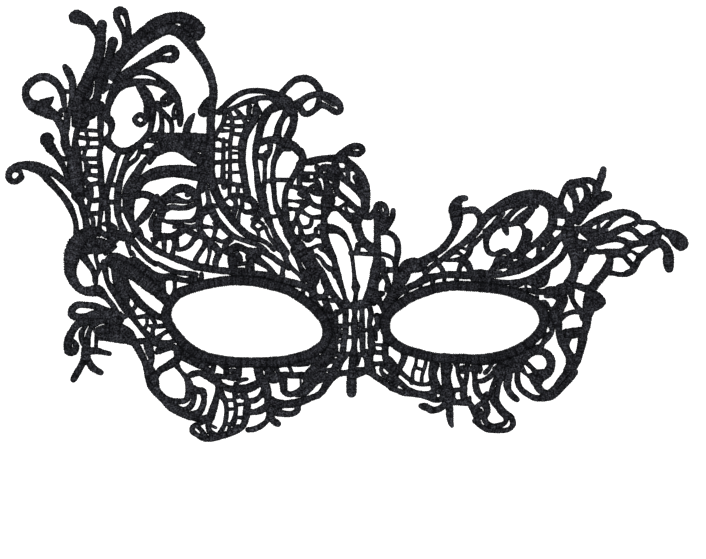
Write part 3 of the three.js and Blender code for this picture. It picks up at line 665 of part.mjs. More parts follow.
    ['hook tail', [[415, 37, 6], [420, 35.8, 8], [426, 32.9, 7.5], [433, 34, 6.3], [439, 38.8, 7],
      [441, 45], [445, 50]]],
    ['drop', [[442, 42, 8], [443.5, 34, 7.5], [443.8, 27], [444.8, 20, 6], [446, 17, 4.5]]],
    ['drop bar', [[441, 40, 6], [449, 40.5], [457, 40.5, 7], [464, 39, 6], [467, 33], [470, 26],
      [473, 19]]],
    ['drop link 1', [[446.3, 50, 7], [447, 45, 5], [449, 41, 6]]],
    ['drop link 2', [[449, 52.5, 4], [457, 53, 5], [459.3, 46, 5.5], [461, 40, 6]]],
    ['rosette left', [[464, 46, 3], [463.5, 41, 5], [468, 33, 7], [473, 31, 8], [475, 26, 6]]],
    ['rosette left 2', [[468, 33, 6], [473, 38, 5], [478, 42, 6], [477, 47, 5]]],
    ['rosette left 3', [[478, 27, 6], [480.5, 33, 5], [478, 38, 6]]],
    ['rosette left 4', [[470.5, 51.5, 6], [476, 46, 4], [480.5, 43.5, 6]]],
  ],
  rightWing: [
    ['hook top', [[449.8, 236.5, 14], [452.3, 242, 9.5], [456.3, 244.6, 6.6], [459.5, 244.8, 6]]],
    ['arch 1', [[553.5, 240, 9], [556.3, 247, 6], [558.8, 253.5], [563.5, 259.8, 6.4], [570, 261, 6.6],
      [577, 262.2, 7], [584, 262.5], [590, 258, 8], [591, 250], [588, 243], [582, 236, 9], [577, 229],
      [572, 222]]],
    ['arch 1 inner', [[563, 256, 6], [570, 258], [577, 258], [581, 252, 7], [581, 245, 8], [577, 238],
      [572, 231, 9], [567, 223, 10]]],
    ['arch 1 tongue', [[563.5, 258, 8], [566, 251, 9.5], [569.3, 244, 7.6], [570, 238, 7], [570.5, 232],
      [566.5, 225, 8]]],
    ['arch 2 spike', [[597.3, 273.7, 6.5], [596, 268, 8], [593.6, 261], [591, 254, 9], [590, 247]]],
    ['arch 2 knob', [[601.5, 247.5, 10.4], [596, 246.3, 11], [589, 241.6, 10.6], [582.3, 235.6]]],
    ['wing stem', [[561.5, 228, 8], [563, 222, 9], [563, 214, 12], [563.5, 204, 11], [565.5, 194, 9.6],
      [568.6, 184, 9.4], [569, 175, 8.8], [566.7, 166, 10], [561.5, 158.5]]],
    ['wing stem 2', [[571, 213, 7], [569, 205, 6], [573, 196, 9], [574.5, 187, 8], [575.5, 180, 5.5],
      [573.5, 173, 4.5]]],
    ['wing top cord', [[570, 213, 8], [576, 214.5, 6], [583, 219, 7], [591, 223.3, 6.5], [600, 227, 6.3],
      [609, 229.8, 6.5], [618, 230.8, 6.6], [626, 228.9, 6.8], [631.5, 225.5, 6.6], [634.5, 221.2, 6],
      [641, 220.6, 4.8], [648, 219.4, 5.6], [652, 216, 5], [656, 211.8, 6.6], [663, 210.8],
      [670, 208.2, 8.4], [675.8, 204.3, 8.8], [678.3, 198.8, 8.4], [674.6, 196, 8], [669.2, 199.3, 6.6],
      [664.6, 205.8, 5.6], [659, 210.8, 6.6]]],
    ['wing lobe fill', [[664, 208, 8], [671, 203, 9], [676, 198, 6]]],
    ['wing cord 2', [[580, 214, 8], [587, 219.5, 5], [593, 222, 6], [600, 225.5, 5], [607, 225]]],
    ['wing net 1', [[583, 217, 7], [583.5, 213, 5], [590, 212], [596.5, 213.5], [602.3, 219.5, 4.5]]],
    ['wing net 2', [[592, 222, 4], [592.5, 215], [590, 208, 6]]],
    ['wing cord 3', [[585, 208, 7], [593, 208.5], [600, 213, 5]]],
    ['wing cord 4', [[576, 211, 5], [584, 206, 7], [592, 204.5, 9], [601, 206], [609, 211, 8],
      [617, 215, 7.5], [625, 218.5, 4], [631, 221, 5], [629, 218, 4]]],
    ['wing cord 5', [[585, 201, 9], [594, 202], [603, 204, 7.6], [611, 204, 6.6], [618, 202.2, 6.4],
      [624, 200, 5], [632, 200, 6], [641, 201], [649, 203, 8.5], [654, 208.5, 5]]],
    ['wing cord 6', [[612, 211.5, 5], [620, 214, 5.2], [627.5, 212.7, 6], [633, 207.5, 6.5], [637, 205, 6],
      [644, 208, 5], [650, 211, 6], [657, 213, 5]]],
    ['wing cord 7', [[574, 200, 9], [583, 197, 8], [591, 191.5, 5], [600, 191.5, 6], [609, 190.5, 8],
      [617, 191, 9], [622, 196, 8], [624, 200, 6]]],
    ['wing cord 8', [[601, 191, 6], [603.3, 184, 6.6], [601.7, 177, 9.2], [598.3, 170.5, 9.8],
      [593.3, 164.5, 10.2], [588.7, 158.5, 10], [584.3, 151], [581.5, 143, 9], [581, 134], [581, 125],
      [580, 116], [576, 108, 10]]],
    ['wing cord 9', [[618, 188, 6], [621.3, 182.7, 5], [626.5, 178, 4.6], [631.3, 183], [632.5, 188, 5]]],
    ['wing eye', [[607, 186, 3], [612, 188, 5], [619.7, 185.4, 4.4], [624.7, 180], [626.3, 174, 5.4],
      [622, 169.5, 6], [614, 168.5, 5], [606, 170], [599, 170.5, 6]]],
    ['wing eye side', [[604, 188, 7], [604.3, 181, 6], [603.2, 175, 7]]],
    ['wing outer edge', [[620, 169.5, 6], [626, 172, 7], [630.3, 178, 6], [633, 184, 6.5],
      [637.5, 188.8, 6.8], [643.3, 193.8, 6.6], [648.5, 197.5, 8], [653.5, 200, 9], [659.3, 196],
      [662.3, 189, 10.4], [662.3, 182, 11.4], [663, 174.5, 9.5]]],
    ['wing edge net', [[619, 191, 5], [626, 191.5, 3], [630, 189, 4]]],
    ['wing edge net 2', [[624, 196, 5], [631, 197.5, 3], [639, 199, 4]]],
    ['wing edge fill', [[640, 204, 8], [648, 204.5, 7], [651.5, 199, 6], [656, 199.5, 5.5], [660, 195, 6]]],
    ['wing stem fill', [[559, 216, 6], [559, 208, 9], [558, 203, 5], [563, 196, 8], [570, 190, 9],
      [571, 182, 8], [570, 174, 7]]],
    ['wing low band', [[553, 155, 8], [562, 157, 9], [571, 157.3, 6.6], [579, 154.5, 7.6], [587, 155, 9]]],
    ['wing low cord', [[565, 152, 8], [566.3, 144, 5], [570, 137, 5.5], [575, 131, 7], [579, 124, 9]]],
    ['wing low knob', [[586, 149, 10], [591, 146], [596, 141, 8], [592, 137], [586, 135, 9], [582, 128]]],
    ['wing low knob 2', [[584, 142, 10], [592, 142]]],
    ['wing low rib 1', [[556, 149, 8], [559.3, 143, 5.6], [556.3, 136, 6.4], [554, 129, 5]]],
    ['wing low rib 2', [[554, 124, 7], [560, 128.5, 5], [567, 131], [575, 131, 6]]],
    ['wing low rib 3', [[553, 119, 7], [554, 111, 6], [560, 109, 11], [568, 110], [576, 111]]],
    ['wing low rib 4', [[556, 109, 8], [557, 101], [559.5, 94], [563, 87], [564, 79, 9], [560, 71, 7]]],
    ['wing low rib 5', [[577, 106, 9], [575.5, 98], [573.5, 90, 8], [571, 82], [568, 76, 7]]],
    ['wing low fill', [[561, 104, 9], [561, 97, 5], [566, 84, 6], [570, 87]]],
    ['wing cord 2 fill', [[602.5, 217, 4], [605.5, 221.5, 5], [610.5, 225.5, 5.5], [616.5, 228, 3.5]]],
    ['wing root fill', [[579.3, 181, 3], [580, 187, 6], [582, 190.5, 7], [588.5, 190, 3.5]]],
    ['wing low rib 6', [[553, 146.5, 3], [555.3, 142.5, 4], [553.3, 136, 3]]],
  ],
};

const eyeRims = [
  ['eye_rim_left', [[160.5, 130, 9], [161, 124], [164, 117], [169, 109.5], [176, 101.5], [184, 94.5],
    [194, 88.5], [206, 84.5], [220, 82], [235, 80.8], [250, 80.6], [265, 81.2], [280, 82.6], [292, 85.5],
    [302, 88.5], [311, 93.5], [318, 99.5], [321, 107], [321, 115], [318.5, 122], [314, 128.5], [308, 135],
    [301, 141], [293, 146.5], [285, 151.5], [276, 155], [265, 158], [252, 161], [238, 162.5], [222, 162.2],
    [208, 160.3], [195, 157.5], [184, 154], [174, 150], [167, 144], [163, 138]]],
  ['eye_rim_right', [[379.2, 120, 9], [380, 111], [384.4, 103.6], [390.5, 98], [398.7, 93.5], [409, 90.3],
    [419, 87.4], [430, 85.2], [442, 84.3], [455, 84.3], [468, 83.5], [480, 84.5], [492, 86.4], [503, 89.9],
    [513, 94.2], [522, 99.7], [530, 106.5], [535.5, 114], [538, 122], [536.5, 130], [532, 137.5],
    [524, 143.6], [514, 147.7], [503, 151.6], [491, 154.2], [478, 155.6], [463, 156.8], [447, 157.3],
    [434, 155.8], [423.2, 152.9], [413.4, 149.5], [403.6, 145], [394.7, 139.3], [387, 133.5],
    [381.3, 127]]],
];

const sharpestTurn = THREE.MathUtils.degToRad(26);
const longestStep = 5.5;
const capSides = 12;

function chartPoint(column, row) {
  return new THREE.Vector3((column / chartColumns - 0.5) * maskWidth, (row / chartRows - 0.5) * maskHeight, 0);
}

// The charted widths of a strand, each carried on to the next point that gives one
function widthsOf(points) {
  let width = widthParts;
  return points.map(([, , charted]) => (width = charted ?? width) / widthParts);
}

// Stations along a strand: the curve's point, its unit normal and the strand's half width there
function stationsAlong(points, closed) {
  const curve = new THREE.CatmullRomCurve3(points.map(([column, row]) => chartPoint(column, row)),
    closed, 'centripetal');
  const widths = widthsOf(points);
  const spans = closed ? points.length : points.length - 1;
  const tangentAt = (place) => curve.getTangent(THREE.MathUtils.clamp(place / spans, 0, 1));
  const stations = [];
  for (let span = 0; span < spans; span += 1) {
    const turn = tangentAt(span + 0.02).angleTo(tangentAt(span + 0.5))
      + tangentAt(span + 0.5).angleTo(tangentAt(span + 0.98));
    const reach = curve.getPoint(span / spans).distanceTo(curve.getPoint((span + 1) / spans));
    const steps = Math.max(1, Math.ceil(turn / sharpestTurn), Math.ceil(reach / longestStep));
    for (let step = 0; step < steps; step += 1) {
      stations.push(span + step / steps);
    }
  }
  if (!closed) stations.push(spans);
  return stations.map((place) => {
    const before = Math.min(Math.floor(place), widths.length - 1);
    const after = closed ? (before + 1) % widths.length : Math.min(before + 1, widths.length - 1);
    const tangent = tangentAt(place);
    return {
      point: curve.getPoint(place / spans),
      normal: new THREE.Vector3(-tangent.y, tangent.x, 0).normalize(),
      share: THREE.MathUtils.lerp(widths[before], widths[after], place - before),
    };
  });
}

function solidOf(geometry) {
  const bare = geometry.clone();
  bare.deleteAttribute('normal');
  bare.deleteAttribute('uv');
  const merged = mergeVertices(bare, 1e-4);
  return new wasm.Manifold(new wasm.Mesh({
    numProp: 3,
    vertProperties: new Float32Array(merged.attributes.position.array),
    triVerts: new Uint32Array(merged.index.array),
  }));
}

function flatSolid(corners, depth) {
  return solidOf(new THREE.ExtrudeGeometry(new THREE.Shape(corners), { depth, bevelEnabled: false }));
}

function roundEnd(point, radius) {
  const corners = [];
  for (let side = 0; side < capSides; side += 1) {
    const angle = (side / capSides) * 2 * Math.PI;
    corners.push(new THREE.Vector2(point.x + radius * Math.cos(angle), point.y + radius * Math.sin(angle)));
  }
  return flatSolid(corners, laceThickness);
}

// One strand as four-cornered links that share their ends, with a round at each end of the strand and
// wherever it bends more tightly than its own half width
function strandSolids(points, closed, width) {
  const stations = stationsAlong(points, closed);
  const solids = [];
  const rounds = new Set(closed ? [] : [0, stations.length - 1]);
  const edge = (station, side) => new THREE.Vector2(
    station.point.x + side * station.normal.x * station.share * width * 0.5,
    station.point.y + side * station.normal.y * station.share * width * 0.5,
  );
  const links = closed ? stations.length : stations.length - 1;
  for (let link = 0; link < links; link += 1) {
    const next = (link + 1) % stations.length;
    const corners = [edge(stations[link], -1), edge(stations[next], -1),
      edge(stations[next], 1), edge(stations[link], 1)];
    const along = new THREE.Vector2().subVectors(stations[next].point, stations[link].point);
    const right = new THREE.Vector2().subVectors(corners[1], corners[0]);
    const left = new THREE.Vector2().subVectors(corners[2], corners[3]);
    if (right.dot(along) > 0 && left.dot(along) > 0) {
      solids.push(flatSolid(corners, laceThickness));
    } else {
      rounds.add(link).add(next);
    }
  }
  for (const place of rounds) {
    solids.push(roundEnd(stations[place].point, stations[place].share * width * 0.5));
  }
  return solids;
}

// The edge loops of a flat solid's upper face
function upperLoops(solid, height) {
  const mesh = solid.getMesh();
  const place = (vertex) => mesh.vertProperties.subarray(vertex * mesh.numProp, vertex * mesh.numProp + 3);
  const nextOf = new Map();
  for (let corner = 0; corner < mesh.triVerts.length; corner += 3) {
    const triangle = mesh.triVerts.subarray(corner, corner + 3);
    if (triangle.every((vertex) => place(vertex)[2] > height * 0.5)) {
      for (let side = 0; side < 3; side += 1) {
        const from = triangle[side];
        const to = triangle[(side + 1) % 3];
        if (nextOf.get(to)?.delete(from) !== true) {
          nextOf.set(from, (nextOf.get(from) ?? new Set()).add(to));
        }
      }
    }
  }
  const loops = [];
  for (const [start, ends] of nextOf) {
    while (ends.size > 0) {
      const loop = [];
      let vertex = start;
      do {
        const [x, y] = place(vertex);
        loop.push(new THREE.Vector2(x, y));
        const [next] = nextOf.get(vertex);
        nextOf.get(vertex).delete(next);
        vertex = next;
      } while (vertex !== start);
      loops.push(loop);
    }
  }
  return loops;
}

// Leaves out the points of an open line that lie within the tolerance of their neighbours' chord
function thinned(points) {
  const [first] = points;
  const last = points[points.length - 1];
  const chord = new THREE.Line3(new THREE.Vector3(first.x, first.y), new THREE.Vector3(last.x, last.y));
  let farthest = 0;
  let split = 0;
  for (let index = 1; index < points.length - 1; index += 1) {
    const point = new THREE.Vector3(points[index].x, points[index].y);
    const distance = chord.closestPointToPoint(point, true, new THREE.Vector3()).distanceTo(point);
    if (distance > farthest) {
      farthest = distance;
      split = index;
    }
  }
  if (farthest <= outlineTolerance) return [first, last];
  return [...thinned(points.slice(0, split + 1)).slice(0, -1), ...thinned(points.slice(split))];
}

function thinnedLoop(loop) {
  let far = 0;
  loop.forEach((point, index) => {
    if (point.distanceTo(loop[0]) > loop[far].distanceTo(loop[0])) far = index;
  });
  const out = thinned(loop.slice(0, far + 1));
  const back = thinned([...loop.slice(far), loop[0]]);
  return [...out.slice(0, -1), ...back.slice(0, -1)];
}

// The whole lace: every strand joined, then drawn again as one outline with its gaps
function laceGeometry() {
  const solids = [];
  for (const strands of Object.values(laceChart)) {
    for (const [, points] of strands) {
      solids.push(...strandSolids(points, false, cordWidth));
    }
  }
  for (const [, points] of eyeRims) {
    solids.push(...strandSolids(points, true, rimWidth));
  }
  const joined = wasm.Manifold.union(solids);
  const loops = upperLoops(joined, laceThickness).map(thinnedLoop);
  const outlines = loops.filter((loop) => THREE.ShapeUtils.area(loop) > smallestGap);
  const gaps = loops.filter((loop) => THREE.ShapeUtils.area(loop) < -smallestGap);
  const shapes = outlines.map((outline) => new THREE.Shape(outline));
  shapes[0].holes = gaps.map((gap) => new THREE.Path(gap));
  return new THREE.ExtrudeGeometry(shapes, { depth: laceThickness, bevelEnabled: false });
}

// The padded rim: a low dome section, flat underneath, carried round the eye
const domeSides = 6;

function rimGeometry(points) {
  const stations = stationsAlong(points, true);
  const positions = [];
  const indices = [];
  const bottom = laceThickness + seatGap;
  const sides = domeSides + 1;
  stations.forEach((station, place) => {
    for (let side = 0; side < sides; side += 1) {
      const angle = (side / domeSides) * Math.PI;
      const out = Math.cos(angle) * station.share * rimWidth * 0.5;
      positions.push(
        station.point.x - station.normal.x * out,
        station.point.y - station.normal.y * out,
        bottom + Math.sin(angle) * rimHeight,
      );
      const here = place * sides;
      const ahead = ((place + 1) % stations.length) * sides;
      const beside = (side + 1) % sides;
      indices.push(here + side, ahead + side, ahead + beside, here + side, ahead + beside, here + beside);
    }
  });
  const geometry = new THREE.BufferGeometry();
  geometry.setAttribute('position', new THREE.Float32BufferAttribute(positions, 3));
  geometry.setIndex(indices);
  return geometry;
}

const blackThread = new THREE.MeshStandardMaterial({ color: 0x232428, roughness: 0.7, metalness: 0 });
const rimThread = new THREE.MeshStandardMaterial({ color: 0x1f2024, roughness: 0.55, metalness: 0 });

const group = new THREE.Group();
const laceBody = new THREE.Mesh(laceGeometry(), blackThread);
laceBody.name = 'lace_body';
group.add(laceBody);
for (const [name, points] of eyeRims) {
  const rim = new THREE.Mesh(rimGeometry(points), rimThread);
  rim.name = name;
  group.add(rim);
}

// The origin goes under the middle of the mask
const extent = new THREE.Box3().setFromObject(laceBody);
const middle = extent.getCenter(new THREE.Vector3());
group.position.set(-middle.x, -middle.y, -extent.min.z);

export default group;
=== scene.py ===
import math
import random

import bpy
import numpy as np
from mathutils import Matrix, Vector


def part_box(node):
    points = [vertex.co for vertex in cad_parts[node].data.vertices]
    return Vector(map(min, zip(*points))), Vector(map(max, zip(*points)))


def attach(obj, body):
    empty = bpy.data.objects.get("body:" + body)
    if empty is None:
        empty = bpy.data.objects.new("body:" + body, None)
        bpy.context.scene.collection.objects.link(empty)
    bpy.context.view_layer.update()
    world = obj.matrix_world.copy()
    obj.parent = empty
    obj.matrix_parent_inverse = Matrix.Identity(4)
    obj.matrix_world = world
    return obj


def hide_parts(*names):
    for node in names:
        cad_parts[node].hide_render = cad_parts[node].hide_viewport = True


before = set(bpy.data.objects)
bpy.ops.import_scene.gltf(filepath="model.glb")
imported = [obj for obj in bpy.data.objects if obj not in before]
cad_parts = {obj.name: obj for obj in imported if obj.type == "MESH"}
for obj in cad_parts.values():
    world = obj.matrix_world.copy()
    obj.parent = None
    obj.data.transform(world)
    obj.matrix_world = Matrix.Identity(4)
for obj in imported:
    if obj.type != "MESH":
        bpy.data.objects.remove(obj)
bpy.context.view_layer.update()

# Black guipure lace mask, lying face up. Metres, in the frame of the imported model.
laceLow, laceHigh = [np.array(corner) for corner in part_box("lace_body")]
photoWidth = 706            # pixels
pixelSize = 0.0003511       # of floor that one pixel spans, and one square of the chart

# The lace pattern on squared paper, with columns to the right and rows upwards. A strand is a list of
# (column, row, width); the width is in eighths of an ordinary cord, and written only where it changes.
laceChart = {
    "topSprays": [
        [(58.3, 338, 6), (56.3, 350, 7.2), (51.3, 359, 8.2), (43.7, 364.9, 8), (36, 366.3), (27, 362.5),
         (20.5, 355), (20, 347), (24.5, 339.5, 11), (32, 335.5, 14), (42, 331), (50, 326, 9),
         (55, 317, 7.5), (58.5, 308, 8.5), (59.5, 298, 9.5), (64, 288, 10), (67, 276, 11), (70, 262, 13),
         (73, 250, 12)],
        [(36, 338, 12), (43, 342, 9), (47, 345.5, 3)],
        [(59, 376.5, 6.5), (62.7, 370.5, 8.5), (66.4, 361, 8), (66.5, 352, 7), (66, 341), (63.5, 330)],
        [(68, 318, 5), (69.5, 330, 8), (72, 344, 11), (78, 356, 13), (85.5, 371), (92, 386, 12),
         (94.5, 400, 11), (95, 410, 10), (96, 418.5, 11)],
        [(76, 335, 9), (84, 338, 10), (90, 343, 9), (92, 352, 8), (93, 362, 9), (97, 373), (102, 383),
         (105, 393), (107, 401.5, 11)],
        [(93, 392, 8), (92.5, 405, 7), (88, 414), (81, 422, 9.5), (73, 423, 8.5), (67, 425.5, 9.5),
         (70, 429.5, 8.5), (78, 427, 6.5), (86, 420, 6)],
        [(115, 380, 9), (121, 392, 7), (122.5, 403, 6), (122.5, 413), (121, 424, 5), (117.5, 431.5, 8),
         (112, 432.5, 8.5), (110.8, 426, 7.5), (114.5, 418, 6.5), (118, 409, 5.5), (118, 396, 6),
         (112, 385, 8)],
        [(104, 372, 8), (112, 384, 11), (124, 397, 12), (136, 409), (150, 419, 13), (163, 424.5, 12.5),
         (177, 425, 12), (187, 421), (193.5, 413), (191.5, 407, 10)],
        [(177, 418, 6), (185, 413, 7), (190, 406, 8)],
        [(106, 366, 8), (116, 381, 9), (128, 393, 10), (140, 402.5), (152, 410, 11), (163, 414),
         (173, 411, 12), (181, 404), (188, 395, 10), (196, 384, 9.5), (203, 371, 9), (207, 357, 8.5),
         (207.3, 346), (205.5, 335, 9), (204.8, 322, 8.5), (204.8, 308, 9), (204.8, 295), (204.5, 280),
         (205, 268), (207.5, 257), (212, 246, 9.5), (218, 236, 9)],
        [(112, 362, 9), (118, 368), (130, 376, 8), (142, 383.5), (152, 389.5, 7.5), (160, 393.8),
         (167, 394, 8), (170, 389), (166, 384), (157, 384.2, 6.5), (147, 383, 7.5), (137, 378, 7),
         (126, 371)],
        [(118, 366, 8), (132, 371, 7), (141, 371, 6.5), (149, 367.8, 5.5), (157, 362, 6.5),
         (165, 354.5, 7.5), (171, 345), (173, 336, 7), (174, 327, 7.5), (174, 318.5, 6)],
        [(108, 357, 8), (120, 359.8, 9.5), (134, 361.2, 7.2), (146, 360.7, 6.2), (156, 357.5, 6),
         (164, 352, 7), (170, 343)],
        [(160.5, 347.3, 6), (156.3, 343, 5.5), (160.5, 338.9, 5), (164.7, 343, 6.5), (160.5, 347.3, 6)],
        [(110, 367, 2.4), (106.5, 363.5), (110, 360), (113, 363.5), (110, 367)],
        [(58, 352, 4.5), (63, 351.5, 5)],
        [(60.5, 334.7, 3.5), (57, 333, 5.5), (54.3, 332.3, 4.5), (56, 327, 3)],
        [(78.5, 341.5, 5), (83.5, 350.5, 6.5), (86.5, 360, 3)],
    ],
    "ovalFrame": [
        [(120, 360, 9), (111.5, 354, 8), (105.6, 345, 7.2), (101.5, 335, 7.5), (100.3, 327, 9),
         (104.7, 321, 8.5), (105.5, 315, 7), (103.6, 309, 4.2), (101.5, 303, 9.5), (106, 296.5, 8),
         (114, 292.2, 7), (124, 293.2, 7.2), (132.5, 298.3), (138.7, 304, 7), (144, 312.2, 6.2),
         (146, 322, 6.8), (147, 332), (145.5, 342, 7), (140.5, 350, 9), (134, 357)],
        [(134, 357, 9), (139.3, 348, 10), (142.3, 339), (141.5, 331, 8.5), (139.5, 322, 5),
         (134, 318.3, 5.8), (128.6, 323.5, 5.4), (134, 328.5), (139, 325, 5)],
        [(97, 337, 6), (94.8, 327, 6.5), (94.7, 317.5, 7.5), (94.6, 309, 5.5), (97, 300, 6)],
        [(103, 357, 6), (98.5, 353.3, 5), (93, 351)],
        [(114, 292, 6), (112, 288, 5.5), (108.8, 280, 6.2), (106, 270, 7.6), (103.5, 262, 7.2),
         (101, 253, 6.5), (99, 243, 9), (101.7, 232, 6.5), (102, 222, 5.5), (104.5, 212, 8)],
        [(126.5, 292, 6), (121, 285.5), (118.3, 278, 6.2), (116, 270, 7.2), (113.6, 262), (112, 252, 7.8),
         (111.5, 242, 7.6), (111.3, 232, 6.8), (114, 221, 6.5), (118, 211, 8)],
        [(135.5, 296, 6), (133.3, 290, 4.5), (130.5, 284.5), (126, 280.8, 5), (121.5, 277, 4.5),
         (118, 272, 5)],
        [(204, 304, 10), (190, 305, 11), (176, 306, 9), (163, 306), (153, 305.7), (146.5, 305, 5)],
        [(204, 293, 11), (190, 297), (176, 299.5, 10), (163, 299), (152, 296), (146.5, 291.5, 7.6),
         (142.6, 286, 5.6), (137.3, 280, 7.6), (132.8, 273, 8.5), (129.6, 266, 9), (127.5, 256),
         (126.5, 246, 7), (125, 236), (125.3, 227, 6), (127.5, 217), (132.7, 207.3, 6.5), (140.5, 199.8, 7),
         (149.5, 193.6, 6.6), (158, 189.5, 6)],
        [(202, 279, 10), (192.5, 283.6, 12), (184, 288.5, 11), (173, 294, 8), (162, 294.8), (151, 290.5)],
        [(202, 274, 9), (188, 273.4, 7.4), (175, 274.8), (162, 274.3), (152, 273.2, 7), (144, 270.3),
         (138, 265.3, 7.5), (132, 257, 8)],
        [(200, 264, 9), (188, 267), (175, 269, 8), (162, 269.5), (150, 267), (141, 263.5, 6.3), (134, 257),
         (130, 247, 6)],
        [(200, 296, 8), (199, 284, 9), (197.5, 270), (196, 259), (196, 252, 5)],
        [(206, 346, 6), (200, 339, 9), (197.5, 331.5, 13)],
        [(151, 337, 6.5), (156, 331), (161, 326.5, 6), (165, 321, 5.5), (166, 314, 5), (165.5, 309)],
        [(154.8, 331, 4), (156, 318, 5.5), (154.8, 311, 7)],
        [(188, 329, 3), (184.5, 323.5, 7.5), (181.5, 316, 8), (179.5, 308)],
        [(97, 351, 4), (98.7, 357, 6.5), (100, 363.5, 5), (101, 369, 3)],
        [(151, 341, 3.5), (155, 339, 4), (159, 337, 3)],
        [(136.5, 291, 5), (141, 291.5, 6.5), (146, 292.5, 6)],
        [(128.5, 270, 5), (125, 264, 5.5), (122, 257, 8), (120.5, 250, 9), (120.7, 240, 8), (121.5, 230),
         (125.3, 219.5, 5.5), (130.3, 209, 6.5)],
        [(105.5, 354, 3.4), (103, 348, 3.6), (100.5, 341.5, 3)],
        [(168.7, 337, 3.4), (167.3, 331, 4), (168, 325, 4.4)],
        [(145, 308, 4), (151, 309.5)],
        [(141, 302, 3.4), (148.5, 301.5, 4)],
        [(143.5, 279.5, 3.4), (149, 286.5, 3.6)],
    ],
    "secondPlume": [
        [(206, 330, 5), (211.5, 331.3, 5.4), (217.7, 336.3, 5.6), (223, 341.3, 6), (230, 347),
         (240, 351.5, 5.6), (250, 352.5, 6), (260, 351.5), (270, 348.5, 7), (278.5, 345, 8)],
        [(213, 330, 5), (218, 331.6, 4.6), (224, 333.8), (232, 337.4, 4.8), (240, 341, 6), (246, 342.5, 7),
         (253, 345, 5.5), (263, 345, 5), (272, 343, 10), (282, 342, 11)],
        [(218, 333, 5), (218.5, 325, 5.5), (216, 318, 5), (212, 312), (208, 305)],
        [(250, 336, 7), (249.3, 326, 8), (245, 318), (239.7, 310, 8.6), (236.7, 300, 9), (236, 290, 8),
         (236, 280), (237.5, 270), (239, 260, 7.5), (241.5, 249, 7.6)],
        [(277.5, 339.5, 12), (270, 336.3, 9), (263, 332.5, 8.6), (258.8, 326, 9), (255.2, 318, 8.5),
         (253, 308, 8), (251, 300), (249.5, 291, 6.5), (249, 282, 6)],
        [(250, 345, 4), (250.5, 338, 4.5), (253, 331, 7)],
        [(283.5, 334, 11), (277.3, 326, 6.6), (273, 317, 7), (270.8, 305, 9)],
        [(287.5, 331.5, 9), (287.8, 322, 8), (285.3, 313, 9), (281.3, 305)],
        [(274, 346.5, 8), (277.5, 352, 6.6), (283, 358, 6.5), (289, 363), (296, 364.8, 7), (303, 364, 7.5),
         (309, 360, 7), (314, 353)],
        [(284, 336.5, 9), (292.5, 340, 8.5), (301, 346, 6.5), (310, 348.8, 6.6), (319, 348.5),
         (327, 344.5, 7.6), (333, 339.3, 7.2), (334.6, 333, 6), (331.5, 330.7), (327, 332.5, 6.6),
         (321, 336, 5), (315, 338, 7), (309, 333.5, 6), (304, 330), (298.5, 329.5, 7), (295, 334),
         (292, 340, 8)],
        [(314, 347, 7), (312.5, 341, 6), (311, 336)],
        [(254, 300, 7), (262, 303), (271, 303, 8), (280, 300, 10), (288, 296.5, 9), (294, 290, 8)],
        [(318, 344, 3.4), (323.5, 340.7, 4.2), (328.5, 338, 3.6)],
    ],
    "outerCrescents": [
        [(92, 212, 10), (80, 208, 15), (71, 200, 17), (67, 190, 18), (65, 180, 15), (64.5, 171, 12.5),
         (67, 163.5, 10.5), (71.5, 156.5, 8.5), (77, 152.6), (84, 151.7, 10.5), (92, 152.4, 12.5),
         (97, 148.7, 8.8), (101.5, 144, 5.5), (107.5, 136.5), (111, 130, 6)],
        [(114, 127, 9), (107, 130.2, 7.4), (98, 133.3, 6.8), (90, 136.6, 7), (80, 138, 6.5), (71, 137.8, 7),
         (66, 133, 8), (66, 128), (72, 126, 7.5), (80, 126.5, 7), (90, 128.5, 10), (100, 128, 11),
         (112, 125)],
        [(88, 121, 9), (78, 121), (71, 118, 8), (66, 111), (63, 104, 9), (61.8, 97, 8.5), (62.5, 91.5, 8),
         (67, 91), (70, 95, 7), (69, 100, 5.5), (64, 103, 6)],
        [(80, 117, 4), (76, 111, 6), (75.5, 105), (77, 99, 5)],
        [(88, 119, 6), (84, 113, 5), (82, 106, 6), (80.5, 98, 8.5), (79.8, 90, 10), (79.8, 83, 11)],
        [(91, 110, 5), (90.3, 103, 4), (90, 96), (90, 92, 5)],
        [(82, 92, 8), (91, 92, 7), (98, 90.5, 5.5), (103.5, 89.3, 5)],
        [(86, 116, 5), (94, 122, 7), (104, 123, 9), (113, 122, 10), (117, 125.5, 5), (121, 127.5)],
        [(90, 112, 6), (100, 114, 10), (112, 114, 12), (118, 113, 10), (124, 109, 9), (128, 102, 8)],
        [(91, 105, 5), (104, 106, 10), (116, 104.7, 11), (126, 101.5, 8)],
        [(89, 161, 5), (88.7, 167, 5.5), (86.5, 173.5, 6), (82, 180, 7), (77.5, 186.5, 9)],
        [(76, 192, 8), (83, 192.5), (89, 193, 7)],
        [(99.5, 189.5, 5), (105.5, 193.3, 4.4), (110, 196.5, 3)],
        [(126, 191.5, 3.6), (128.3, 187.5, 4)],
    ],
    "centreFan": [
        [(249, 284, 5.5), (249.5, 278), (250.8, 270), (251.8, 260, 7), (255, 250, 10), (257.2, 240),
         (259.3, 231, 9), (262.5, 223, 8), (266, 215, 5), (270, 206, 6), (275, 198, 7), (280, 190, 8)],
        [(260.5, 290.5, 6), (259.3, 284, 5.5), (258.8, 275, 4.2), (258.5, 262, 4.5), (256.8, 252, 7)],
        [(274, 300, 7), (271.5, 290), (268.2, 282, 6), (266.9, 272, 5.2), (267, 262, 6.2), (268, 252, 5.4),
         (268.8, 243, 5), (270.5, 236, 6.5), (274, 229, 7), (278, 220, 9)],
        [(294.5, 292, 8), (296.6, 285), (292.8, 276, 7), (288.2, 268, 6), (284.3, 261, 6.5),
         (280.5, 254, 6), (279, 246), (279, 238, 7), (279.5, 229, 8), (280, 219, 9), (283, 210, 11),
